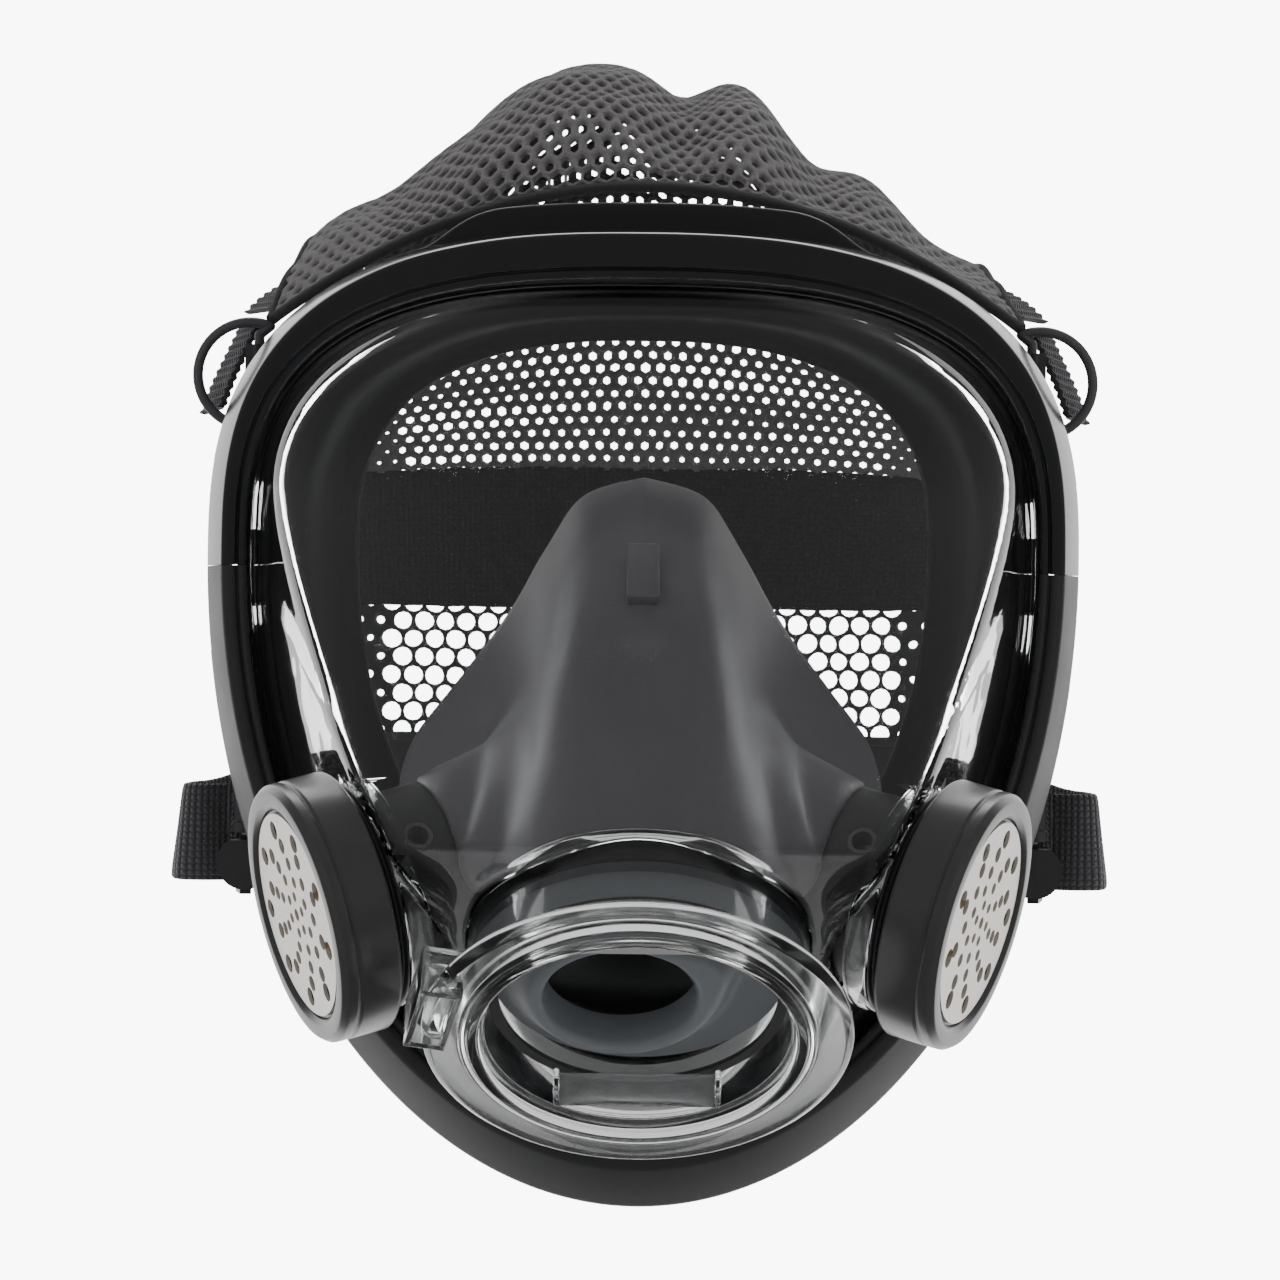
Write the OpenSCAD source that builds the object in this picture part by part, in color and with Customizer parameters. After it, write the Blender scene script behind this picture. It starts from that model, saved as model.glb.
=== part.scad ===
// Full face respirator: a wide clear lens in a two-part clamp frame, with a rubber face seal,
// a nose cup, a regulator port, two speech diaphragms and a mesh head net on four straps.
// Units are millimetres. +X is the wearer's left, +Y points back to the head, +Z is up.
// The origin is the middle of the opening that the face goes into.

/* [Frame] */
// Half the frame's width at its widest
rim_half_w = 98; // [94:0.5:102]
// Height of the widest level above the origin
rim_level = 18; // [16:0.5:20]
// From the widest level to the frame's top edge
rim_up = 71; // [68:0.5:74]
// From the widest level to the frame's chin edge
rim_down = 142; // [138:0.5:146]
// Squareness of the upper corners, where 2 is an ellipse
crown_power = 2.75; // [2.4:0.05:3]
// How far back the temples stand
rim_side_y = 40; // [36:1:44]
// How far back the forehead edge stands
rim_top_y = 4; // [2:1:8]
// How far back the chin edge stands
rim_chin_y = 14; // [12:1:18]

/* [Lens] */
// Wall of the lens
lens_wall = 2.6; // [2:0.1:3]
// Curve across the lens, as the rise in millimetres per square millimetre
lens_curve = 0.0075; // [0.0065:0.0005:0.0085]
// Slope of the lens's side walls
side_slope = 2.76; // [2.6:0.02:2.9]

/* [Regulator port] */
// Angle of the port's axis below the horizon
port_tilt = 49; // [47:1:51]
// Radius of the clear flange
flange_r = 43.5; // [43:0.5:44.5]
// Radius of the bore that the regulator enters
port_bore_r = 30.9; // [30:0.1:31.5]
// Outer radius of the neck between flange and lens
neck_r = 35; // [34.6:0.1:35.4]

/* [Speech diaphragms] */
// Outer radius of the cap
cap_r = 27.6; // [27:0.1:28]
// Radius of the perforated disc
grille_r = 21.6; // [21:0.1:22]
// Outer radius of the duct behind the lens
duct_r = 20; // [19:0.5:20.5]

/* [Harness] */
// Width of the lower straps
strap_w = 22; // [18:1:24]
// Thickness of the straps
strap_t = 1.8; // [1.4:0.1:2.2]
// Outer radius of the strap rings
ring_r = 13; // [12:0.5:13.5]
// Thickness of the head net
net_t = 1.4; // [1.2:0.1:1.6]

/* [Hidden] */
$fn = 96;

// gap between parts that only rest against each other
gap = 0.35;
lip_t = 2.5;          // thickness of the frame's front lip
split_half = 0.12;    // half the gap between the frame halves, in degrees
split_at = -1;        // where the halves meet, in degrees below the widest level
seal_foot = 9.4;      // where the seal's outer flange starts, behind the rim line
port_back = 18;       // from the flange to the plane where the neck meets the lens
port_y = -55;         // the flange's centre
port_z = -80.7;
up_slope = 0.303;     // the lens's centre line above the port: slope and bend
up_bend = 0.00215;
port_len = 27;        // from the port's face to the neck's inner end
flange_t = 2.5;
face_rise = 1;        // the raised ring's height
face_depth = 2.5;     // from the port's face down to its two key flats
port_inner_r = port_bore_r - 0.4; // the bore below its wider mouth
key_depth = 10.7;     // and to the flats' inner ends
key_flat = 26.1;      // from the axis to each key flat
voice_at = [57, -23.4, -54];           // where a speech duct's axis meets the lens's wall
voice_dir = [0.9, -0.36, -0.243];      // and the way it points, outwards
pod_depth = 16;       // from the lens's wall to the cap's face
duct_len = 20;
hole_back = 9.5;      // from the lens's wall to the inhalation hole in the duct
ring_pin = [87.4, 53.2, 59];              // a strap ring's hinge, at its middle
lower_pin = [89, 56, -38];            // and a lower buckle's
pin_r = 1.5;
wire_r = 1.15;                        // radius of the rings' wire
play = 0.05;                          // radial play of pins and wires in their holes

// ---- curves and helpers ----
function lerp(a, b, w) = a + (b - a) * w;
function smooth(w) = let (c = min(max(w, 0), 1)) c * c * (3 - 2 * c);
function soft_max(a, b, k) = (a + b + sqrt((a - b) * (a - b) + k * k)) / 2;
function unit(v) = v / norm(v);
function bend(v, e) = sign(v) * pow(abs(v), e);

// a smooth curve through a list of points, w from 0 to 1
function through(p, w) =
    let (n = len(p) - 1, s = w * n, i = min(floor(s), n - 1), f = s - i,
         a = p[max(i - 1, 0)], b = p[i], c = p[i + 1], d = p[min(i + 2, n)])
    0.5 * (2 * b + (c - a) * f + (2 * a - 5 * b + 4 * c - d) * f * f + (3 * b - a - 3 * c + d) * f * f * f);

// outer edge of the frame in the XZ plane: a squarer curve above the widest level, an ellipse below
function edge_power(t) = sin(t) > 0 ? 2 / crown_power : 1;
function edge_x(t) = rim_half_w * bend(cos(t), edge_power(t));
function edge_z(t) = rim_level + (sin(t) > 0 ? rim_up : rim_down) * bend(sin(t), edge_power(t));
function edge_normal(t) =
    let (dx = edge_x(t + 0.5) - edge_x(t - 0.5), dz = edge_z(t + 0.5) - edge_z(t - 0.5), l = norm([dx, dz]))
    [dz / l, -dx / l];
function rim_y(t) = let (end = sin(t) > 0 ? rim_top_y : rim_chin_y)
    end + (rim_side_y - end) * pow(edge_x(t) / rim_half_w, 2);

// a point r inside the outer edge and h behind the rim line
function rim_point(t, r, h) = let (n = edge_normal(t)) [edge_x(t) - r * n[0], rim_y(t) + h, edge_z(t) - r * n[1]];

// how far the frame's wall leans in towards its front, and the width of its front lip
function flare(t) = let (s = sin(t)) s > 0 ? 4.5 - 2.5 * s * s : 4.5 + 5.5 * s * s;
function lip_w(t) = let (s = sin(t)) s > 0 ? 5.5 + 4.5 * s * s : 5.5 + 0.5 * s * s;
function lens_edge(t) = flare(t) + lip_w(t) + 0.5;

// where the seal touches the face: the frame's outline, smaller
// and drawn up under the chin into a cup
function seal_share(t) = 0.65 - 0.17 * pow(max(0, -sin(t)), 6);
function face_point(t, h) = let (k = seal_share(t))
    [k * edge_x(t), rim_y(t) + h, rim_level + k * (edge_z(t) - rim_level)];
function seal_point(t, r, w, h) = lerp(rim_point(t, r, h), face_point(t, h), w);

// ---- lens surface ----
port_n = [0, -cos(port_tilt), -sin(port_tilt)];
port_up = [0, -sin(port_tilt), cos(port_tilt)];
port_c = [0, port_y, port_z];
neck_c = port_c - port_back * port_n;
function centre_y(z) =
    let (z0 = -45, u = max(z - z0, -20), top = neck_c[1] - (z0 - neck_c[2]) * tan(port_tilt))
    soft_max(top + up_slope * u + up_bend * u * abs(u), neck_c[1] - (z - neck_c[2]) * tan(port_tilt), 6);
function front_y(x, z) = centre_y(z) + (lens_curve - 0.0035 * smooth((z - 30) / 40)) * x * x;
function wall_slope(t) = side_slope - 0.6 * pow(max(0, sin(t)), 2);
// depth of the lens at x, z, on the way in from the rim at angle t
function lens_y(t, x, z) =
    let (e = rim_point(t, lens_edge(t), 0), n = edge_normal(t), d = (e[0] - x) * n[0] + (e[2] - z) * n[1])
    soft_max(front_y(x, z), e[1] - 3.1 - wall_slope(t) * d, 3);

// where the lens ends, just inside the neck: slide back along the port's axis until the point lies on the surface
function neck_edge(a, t, back = 0, tries = 12) =
    let (p = neck_c + (neck_r - 2) * (cos(a) * [1, 0, 0] + sin(a) * port_up) - back * port_n)
    tries == 0 ? p : neck_edge(a, t, back + (lens_y(t, p[0], p[2]) - p[1]), tries - 1);

lens_steps = 9;
function lens_front(t, w) =
    let (a = rim_point(t, lens_edge(t), 0), b = neck_edge(t, t), x = lerp(a[0], b[0], w), z = lerp(a[2], b[2], w))
    [x, lens_y(t, x, z), z];
function lens_normal(t, w) =
    let (e = 1.5, p = lens_front(t, w),
         u = lens_front(t, min(w + 0.02, 1)) - lens_front(t, max(w - 0.02, 0)),
         v = lens_front(t + e, w) - lens_front(t - e, w))
    unit(cross(u, v));
function lens_section(t) = concat(
    [rim_point(t, flare(t) + 3.2, -3.1), rim_point(t, lens_edge(t) - 0.9, -3.1)],
    [for (i = [0:lens_steps]) lens_front(t, pow(i / lens_steps, 1.25))],
    [for (i = [lens_steps:-1:0]) let (w = pow(i / lens_steps, 1.25)) lens_front(t, w) + lens_wall * lens_normal(t, w)],
    [rim_point(t, lens_edge(t) + 1.2, -0.4), rim_point(t, flare(t) + 3.2, -0.5)]);

// ---- solids from rings of points ----
// rings of equal length, joined into a closed loop, or capped at both ends
module skin(rings, closed = true, flip = false) {
    n = len(rings);
    m = len(rings[0]);
    last = closed ? n - 1 : n - 2;
    pts = [for (r = rings) for (p = r) p];
    quads = [for (i = [0:last]) for (j = [0:m - 1])
        let (a = i * m + j, b = i * m + (j + 1) % m, c = ((i + 1) % n) * m + (j + 1) % m, d = ((i + 1) % n) * m + j)
        each [[a, b, c], [a, c, d]]];
    e = (n - 1) * m;
    ends = closed ? [] : [for (j = [0:m / 2 - 2]) each [[m - 1 - j, j + 1, j], [m - 1 - j, m - 2 - j, j + 1],
        [e + j, e + j + 1, e + m - 1 - j], [e + j + 1, e + m - 2 - j, e + m - 1 - j]]];
    faces = concat(quads, ends);
    polyhedron(pts, flip ? [for (f = faces) [for (k = [len(f) - 1:-1:0]) f[k]]] : faces, convexity = 10);
}

// a flat strap along a list of [place, width direction, thickness direction]
module ribbon(stations, width, thick, count) {
    n = len(stations);
    function at(w, k) = through([for (s = stations) s[k]], w);
    skin([for (i = [0:count])
        let (w = i / count, p = at(w, 0), a = unit(at(w, 1)) * width / 2, b = unit(at(w, 2)) * thick / 2)
        [p - a - b, p + a - b, p + a + b, p - a + b]], closed = false, flip = true);
}

// places children with +Z along a direction
module along(p, d) {
    u = unit(d);
    translate(p) rotate([0, acos(u[2]), atan2(u[1], u[0])]) children();
}
module on_side(side) mirror([side < 0 ? 1 : 0, 0, 0]) children();
module tube(r, bore, h) difference() {
    cylinder(r = r, h = h);
    translate([0, 0, -1]) cylinder(r = bore, h = h + 2);
}

// ---- lens and regulator port ----
module lens() color([0.86, 0.9, 0.92, 0.35]) difference() {
    union() {
        skin([for (t = [0:5:355]) lens_section(t)]);
        for (side = [1, -1]) difference() {
            pod(side) translate([0, 0, -9.5]) cylinder(r = duct_r + 3.6, h = 9.4);
            in_duct_hole(side) cylinder(r = 5.6, h = 40);
        }
    }
    for (side = [1, -1]) pod(side) {
        translate([0, 0, -16]) cylinder(r = duct_r + 0.4, h = 26);
        translate([0, 0, -0.3]) cylinder(r = 24.8, h = 10);
    }
    in_port(port_len + 3) cylinder(r = neck_r + gap, h = 40);
}

// The port's own frame has its face at 0 and +Z along the axis, outwards.
module in_port(depth) along(port_c - depth * port_n, port_n) rotate([0, 0, 90]) children();
module regulator_port() color([0.85, 0.88, 0.9, 0.5]) in_port(port_len) difference() {
    union() {
        cylinder(r = neck_r, h = port_len);
        translate([0, 0, port_len]) latch_stop();
        translate([0, 0, port_len - flange_t]) rotate_extrude() polygon([[0, 0], [flange_r, 0],
            [flange_r, flange_t - 1], [flange_r - 1.5, flange_t], [0, flange_t]]);
        translate([0, 0, port_len - 0.5]) cylinder(r = 34.2, h = 0.5 + face_rise);
    }
    translate([0, 0, port_len - face_depth]) cylinder(r = port_bore_r, h = face_depth + face_rise + 1);
    translate([0, 0, port_len - key_depth]) intersection() {
        cylinder(r = port_inner_r, h = key_depth);
        translate([-50, -key_flat, -1]) cube([100, 2 * key_flat, key_depth + 2]);
    }
    translate([0, 0, -1]) cylinder(r = port_inner_r, h = port_len - key_depth + 1);
}
// clear hollow stop on the flange's edge that the regulator's release button rests against
module latch_stop() rotate([0, 0, 167]) difference() {
    translate([flange_r - 6, -9.5, -9]) cube([8.5, 19, 11.5]);
    translate([flange_r - 4.6, -8, -7.5]) cube([5.7, 16, 12]);
}
module port_gasket() color([0.12, 0.12, 0.13]) in_port(key_depth + 1) tube(port_inner_r - 0.1, port_inner_r - 2.2, 1);

// ---- frame ----
function frame_section(t) = let (f = flare(t), g = lip_w(t)) [
    rim_point(t, 0, 9), rim_point(t, 0, 6.5), rim_point(t, f * 0.96, -4.8), rim_point(t, f + 1.4, -6),
    rim_point(t, f + g, -6), rim_point(t, f + g, -6 + lip_t), rim_point(t, f + 2.8, -3.3), rim_point(t, 2.4, 9)];

module frame_half(from, to) {
    steps = 36;
    skin([for (i = [0:steps]) frame_section(lerp(from, to, i / steps))], closed = false);
}
// ear behind the frame's wall that takes the joint screw
ear_at = rim_point(split_at, 3.7, 11.6);
module ear(z, h) on_both() translate([ear_at[0], ear_at[1], z]) tube(3.2, 1.6, h);
module on_both() { children(); mirror([1, 0, 0]) children(); }
ear_z = ear_at[2];

module frame_upper() color([0.05, 0.055, 0.06]) {
    frame_half(split_at + split_half, 180 - split_at - split_half);
    ear(ear_z + 0.2, 6);
}
module frame_lower() color([0.07, 0.07, 0.075]) {
    frame_half(180 - split_at + split_half, 360 + split_at - split_half);
    ear(ear_z - 6.2, 6);
}
module frame_screws() color([0.6, 0.6, 0.62]) on_both() translate([ear_at[0], ear_at[1], ear_z]) {
    difference() {
        translate([0, 0, 6.3]) cylinder(r = 2.7, h = 2.2);
        translate([0, 0, 7.4]) cylinder(r = 1.3, h = 2, $fn = 6);
    }
    translate([0, 0, -9.4]) cylinder(r = 1.45, h = 15.7);
}
module frame_nuts() color([0.6, 0.6, 0.62]) on_both() translate([ear_at[0], ear_at[1], ear_z - 8.7]) difference() {
    cylinder(r = 2.9, h = 2.3, $fn = 6);
    translate([0, 0, -1]) cylinder(r = 1.5, h = 5);
}

// ---- face seal ----
function seal_out(t) = -0.4 - 5.6 * smooth((sin(t) - 0.92) / 0.06) + 9 * smooth((0.16 - abs(sin(t - split_at))) / 0.05);
function seal_section(t) = let (f = flare(t), g = lip_w(t), e = seal_out(t), r = f + g) [
    rim_point(t, f + 3.6, -0.1), rim_point(t, r + 2, -0.1),
    seal_point(t, r, 0.3, 11), seal_point(t, r, 0.5, 17.5), seal_point(t, r, 0.75, 16),
    face_point(t, 9.5), face_point(t, 11.5),
    seal_point(t, r, 0.75, 19.5), seal_point(t, r, 0.48, 21.5), seal_point(t, r, 0.2, 17.5),
    rim_point(t, max(e, 3) + 1, 11.8), rim_point(t, e, 11.6), rim_point(t, e, seal_foot),
    rim_point(t, max(e, 3.4) + 1.2, seal_foot)];
module face_seal() color([0.08, 0.08, 0.085]) skin([for (t = [0:4:356]) seal_section(t)]);

// ---- nose cup ----
// Half of its face edge, from the nose bridge to the chin; the other half is the mirror image.
cup_edge = [[0, 2, 34], [13, 4, 30], [21, 9, 19], [29, 12, 5], [40, 14, -10], [50, 15, -24],
    [52, 15, -40], [44, 13, -60], [26, 11, -76], [0, 10, -84]];
cup_front_r = 33.6;
cup_front = port_c - (port_len + 0.4) * port_n;
cup_wall = 2;
function cup_rim(a) = let (b = (a + 360) % 360, m = b > 180 ? 360 - b : b, p = through(cup_edge, m / 180))
    b > 180 ? [-p[0], p[1], p[2]] : p;
function cup_ring(a) = cup_front + cup_front_r * (sin(a) * [1, 0, 0] + cos(a) * port_up);
// the ridge over the nose stands forward of the straight line from face edge to front ring,
// and the sides draw in towards the speech ducts
function cup_crown(a, s) = let (top = pow(max(0, cos(a)), 1.5), side = pow(sin(a), 2))
    sin(180 * pow(s, 0.8)) * [-9 * sin(a) * side, -10 * top - 3 * side, 12 * top];
function cup_plain(a, s) = lerp(cup_rim(a), cup_ring(a), s) + cup_crown(a, s);
// at each speech duct the wall is drawn out or in to a flat round seat
function cup_side(p, side, s) =
    let (d = unit([side * voice_dir[0], voice_dir[1], voice_dir[2]]),
         o = [side * voice_at[0], voice_at[1], voice_at[2]],
         h = (p - o) * d, r = norm(p - o - h * d), w = smooth((28 - r) / 6) * smooth((1 - s) / 0.12))
    p + d * (-duct_len - 0.6 - h) * w;
function cup_point(a, s) = let (p = cup_plain(a, s)) sin(a) == 0 ? p : cup_side(p, sign(sin(a)), s);
function cup_normal(a, s) = unit(cross(cup_point(a + 2, s) - cup_point(a - 2, s),
    cup_point(a, min(s + 0.04, 1)) - cup_point(a, max(s - 0.04, 0))));
cup_steps = 8;
function cup_section(a) = concat(
    [for (i = [0:cup_steps]) cup_point(a, i / cup_steps)],
    [for (i = [cup_steps:-1:0]) let (s = i / cup_steps) cup_point(a, s) + cup_wall * cup_normal(a, s)]);
module nose_cup() color([0.27, 0.27, 0.29]) difference() {
    skin([for (a = [0:6:354]) cup_section(a)], flip = true);
    for (side = [1, -1]) pod(side) {
        translate([0, 0, -duct_len - 12]) cylinder(r = 16, h = 16);
        translate([0, 0, -duct_len - gap]) cylinder(r = duct_r + gap, h = 30);
    }
    in_port(port_len + gap) cylinder(r = neck_r + gap, h = 40);
}
// stiff plate behind the port, with an offset round mouth in a rounded boss
module nose_cup_adapter() color([0.36, 0.38, 0.4]) in_port(18) difference() {
    union() {
        translate([0, 0, -2.5]) cylinder(r = port_inner_r - 0.35, h = 2.5);
        translate([-3.6, -3.5, -0.5]) cylinder(r1 = 22.5, r2 = 17.5, h = 6);
        translate([14, 2.5, -0.5]) cylinder(r1 = 8.5, r2 = 6, h = 4.5);
    }
    translate([-3.6, -3.5, -4]) cylinder(r = 15.5, h = 12);
}
// sleeve pushed into the neck from behind, which the cup's front edge sits around
module nose_cup_sleeve() color([0.2, 0.2, 0.21]) in_port(port_len + 1.2) tube(port_inner_r - 0.3, 28.6, port_len - 19.8);

// ---- speech diaphragms ----
// A pod's own frame has the lens's wall at 0 and +Z along the duct's axis, outwards.
module pod(side) on_side(side) along(voice_at, voice_dir) children();
module duct(side) color([0.1, 0.1, 0.105]) pod(side) difference() {
    translate([0, 0, -duct_len]) tube(duct_r, duct_r - 2, duct_len + 2);
    translate([0, 0, -hole_back]) rotate([0, 0, 235]) rotate([0, 90, 0]) cylinder(r = 3.1, h = 30);
}
module voice_base(side) color([0.09, 0.09, 0.095]) pod(side) difference() {
    union() {
        translate([0, 0, -4]) cylinder(r = 17.8, h = 5);
        cylinder(r = 24.4, h = 9);
    }
    translate([0, 0, -5]) cylinder(r = 15.5, h = 15);
    translate([0, 0, 7.2]) cylinder(r = 22.6, h = 3);
    translate([0, 0, -6]) tube(duct_r + 0.1, 17.7, 8.1);
}
module voice_cap(side) color([0.12, 0.12, 0.125]) pod(side) rotate_extrude()
    polygon([[24.5, 3], [cap_r, 3], [cap_r, pod_depth - 1.8], [cap_r - 0.5, pod_depth - 0.6],
        [cap_r - 1.6, pod_depth], [23.6, pod_depth], [22.4, pod_depth - 0.8], [22.4, pod_depth - 1.6],
        [20.4, pod_depth - 1.6], [20.4, pod_depth - 3], [24.5, pod_depth - 3]]);
// rings of holes: how many, how far out, and how wide
grille_rows = [[1, 0, 1.3], [6, 4.1, 1.1], [8, 7.8, 1.25], [9, 11.2, 1.45], [10, 14.7, 1.7], [9, 18.1, 2]];
module voice_grille(side) color([0.72, 0.71, 0.7]) pod(side) translate([0, 0, pod_depth - 1.5]) difference() {
    cylinder(r = grille_r, h = 0.8);
    for (row = grille_rows) for (k = [0:row[0] - 1])
        rotate([0, 0, (k + row[1] * 0.07) * 360 / row[0]]) translate([row[1], 0, -1])
            cylinder(r = row[2], h = 3, $fn = 16);
}
module voice_diaphragm(side) color([0.75, 0.6, 0.3]) pod(side) translate([0, 0, 9.5]) cylinder(r = 22.2, h = 0.3);
module voice_gasket(side) color([0.1, 0.1, 0.1]) pod(side) translate([0, 0, 8.35]) rotate_extrude()
    translate([20.5, 0]) circle(r = 1.1, $fn = 24);

// inhalation valve in the hole on top of each duct
module in_duct_hole(side) pod(side) translate([0, 0, -hole_back]) rotate([0, 0, 235]) rotate([0, 90, 0]) children();
module inhale_seat(side) color([0.16, 0.16, 0.17]) in_duct_hole(side) translate([0, 0, duct_r - 5.4]) difference() {
    union() {
        cylinder(r = 3.05, h = 5.2);
        cylinder(r = 5.2, h = 2.6);
    }
    translate([0, 0, -1]) cylinder(r = 2.2, h = 8);
}
module inhale_flap(side) color([0.5, 0.32, 0.14]) in_duct_hole(side) translate([0, 0, duct_r - 6.3])
    cylinder(r = 4.4, h = 0.6);

// ---- lugs, rings, buckles and straps ----
// A fixed lug: two ears around a hinge, and a foot against the back of the seal's flange.
ear_t = 2.4;
module lug(pin, r, foot, hole_r) difference() {
    union() {
        for (z = [-6.6, 4.2]) {
            translate([pin[0], pin[1], pin[2] + z]) cylinder(r = r, h = ear_t);
            hull() {
                translate([pin[0] - 1.4, pin[1] - 0.6, pin[2] + z]) cylinder(r = 1.6, h = ear_t, $fn = 24);
                translate([foot[0], foot[1], pin[2] + z]) cylinder(r = 1.6, h = ear_t, $fn = 24);
            }
        }
        translate([foot[0] - 2.5, foot[1] - 1.4, pin[2] - 6.6]) cube([5, 2.2, 13.2]);
    }
    translate([pin[0], pin[1], pin[2] - 8]) cylinder(r = hole_r, h = 16);
}
module upper_lug(side) color([0.1, 0.1, 0.1]) on_side(side) lug(ring_pin, 2.9, [87.65, 49.75], wire_r + play);
module lower_lug(side) color([0.1, 0.1, 0.1]) on_side(side) lug(lower_pin, 3.4, [87.2, 51.6], pin_r);
module lower_pins() color([0.62, 0.62, 0.64]) for (side = [1, -1]) on_side(side) translate(lower_pin) {
    translate([0, 0, -7.2]) cylinder(r = pin_r, h = 14.4);
    translate([0, 0, 6.8]) cylinder(r = 2.3, h = 1);
}

// the ring is a straight hinge bar, a round bow and the two bends between them
bar_half = 9;
bow_x = 2;
bow_end = 112;
module strap_ring(side) color([0.13, 0.13, 0.14]) on_side(side) translate(ring_pin) {
    translate([0, 0, -bar_half]) cylinder(r = wire_r, h = 2 * bar_half);
    rotate([90, 0, 0]) translate([bow_x, 0, 0]) rotate([0, 0, -bow_end]) rotate_extrude(angle = 2 * bow_end)
        translate([ring_r - wire_r, 0]) circle(r = wire_r, $fn = 24);
    for (z = [-1, 1]) hull() {
        translate([0, 0, z * bar_half]) sphere(r = wire_r, $fn = 16);
        translate([bow_x + (ring_r - wire_r) * cos(bow_end), 0, z * (ring_r - wire_r) * sin(bow_end)])
            sphere(r = wire_r, $fn = 16);
    }
}
// a knuckle on the pin and a slotted plate that the strap turns round
strap_z = -45;
buckle_turn = 80;
module lower_buckle(side) color([0.1, 0.1, 0.1]) on_side(side) translate(lower_pin) {
    difference() {
        translate([0, 0, -3.9]) cylinder(r = 3.2, h = 7.8);
        translate([0, 0, -5]) cylinder(r = pin_r + play, h = 10);
    }
    rotate([0, 0, buckle_turn]) {
        translate([2.4, -1.3, -3.8]) cube([3, 2.6, 7.6]);
        translate([4.2, 0, strap_z - lower_pin[2]]) difference() {
            translate([0, -1.3, -strap_w / 2 - 3]) cube([12, 2.6, strap_w + 6]);
            translate([5, -3, -strap_w / 2 - 0.5]) cube([4, 6, strap_w + 1]);
        }
    }
    // rounded thumb tab below the knuckle
    translate([0.6, -1.4, -13.5]) rotate([-90, 0, 0]) difference() {
        cylinder(r = 6.2, h = 6.5);
        translate([-8, -12, -1]) cube([16, 7, 9]);
    }
}
// straps: places, then the directions of width and thickness
upper_run = [
    [[70, 66, 84], [0.5, 0.84, 0.1], [0.5, -0.25, 0.83]],
    [[78, 61, 81], [0.5, 0.85, 0], [0.6, -0.3, 0.74]],
    [[84, 59, 77.5], [0.5, 0.86, 0], [0.72, -0.36, 0.6]],
    [[88.2, 58.6, 73.6], [0.5, 0.86, 0], [0.84, -0.4, 0.36]]];
upper_end = [
    [[90.2, 59.35, 70.2], [0.5, 0.86, -0.1], [0.86, -0.45, 0.25]],
    [[93, 60, 64.5], [0.5, 0.86, -0.1], [0.87, -0.45, 0.2]],
    [[96, 60, 58], [0.5, 0.86, -0.1], [0.87, -0.45, 0.2]],
    [[98.5, 59.5, 51], [0.5, 0.86, -0.1], [0.87, -0.45, 0.2]]];
module upper_strap(side) color([0.13, 0.13, 0.14]) on_side(side) ribbon(upper_run, 13, strap_t, 8);
module upper_tail(side) color([0.13, 0.13, 0.14]) on_side(side) ribbon(upper_end, 11, strap_t, 6);

lower_run = [
    [[105.6, 71.5, -45], [-0.13, 0, 1], [1, 0.1, 0.13]],
    [[105, 79, -45], [-0.13, 0, 1], [0.9, 0.4, 0.12]],
    [[98, 89.5, -44], [-0.05, 0.03, 1], [0.65, 0.75, 0]],
    [[84, 100, -38], [0, 0.1, 1], [0.5, 0.85, -0.1]],
    [[71, 106.5, -26], [0, 0.15, 1], [0.45, 0.9, -0.13]]];
lower_end = [
    [[94, 63, -45], [0, 0, 1], [0.35, -0.93, 0]],
    [[99.5, 61, -45], [0, 0, 1], [0.35, -0.93, 0]],
    [[104.3, 62.6, -45], [-0.08, 0, 1], [0.9, -0.4, 0.08]],
    [[105.7, 69.8, -45], [-0.13, 0, 1], [1, 0.1, 0.13]]];
module lower_strap(side) color([0.13, 0.13, 0.14]) on_side(side) ribbon(lower_run, strap_w, strap_t, 10);
module lower_tail(side) color([0.13, 0.13, 0.14]) on_side(side) ribbon(lower_end, strap_w, strap_t, 8);

// ---- head net ----
// stations from the forehead edge over the crown to the nape:
// [back, up, half width, drop at the sides, side shift back]
net_run = [
    [20, 99, 84, 28, 26], [30, 115, 80, 34, 22], [50, 127, 75, 37, 14], [76, 131, 71, 41, 4],
    [99, 121, 69, 41, -6], [112, 99, 70, 31, -12], [117, 68, 71, 13, -14], [118, 38, 72, 3, -14],
    [117, 10, 71, 0, -12], [113, -24, 69, 0, -10]];
function net_point(u, v) = let (s = through(net_run, v), q = u * u)
    [s[2] * u, s[0] + s[4] * q, s[1] - s[3] * q];
function net_normal(u, v) = unit(cross(net_point(u + 0.02, v) - net_point(u - 0.02, v),
    net_point(u, min(v + 0.01, 1)) - net_point(u, max(v - 0.01, 0))));
net_across = 14;
function net_ring(v, t) = concat(
    [for (i = [0:net_across]) let (u = 2 * i / net_across - 1) net_point(u, v) + t / 2 * net_normal(u, v)],
    [for (i = [net_across:-1:0]) let (u = 2 * i / net_across - 1) net_point(u, v) - t / 2 * net_normal(u, v)]);
module net_part(from, to, steps, t) skin([for (i = [0:steps]) net_ring(lerp(from, to, i / steps), t)],
    closed = false, flip = true);
module net_crown() color([0.2, 0.19, 0.2]) net_part(0, 0.768, 20, net_t);
module net_band() color([0.09, 0.09, 0.09]) net_part(0.772, 0.896, 4, 2.4);
module net_back() color([0.1, 0.1, 0.1]) net_part(0.9, 1, 4, net_t);

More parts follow.
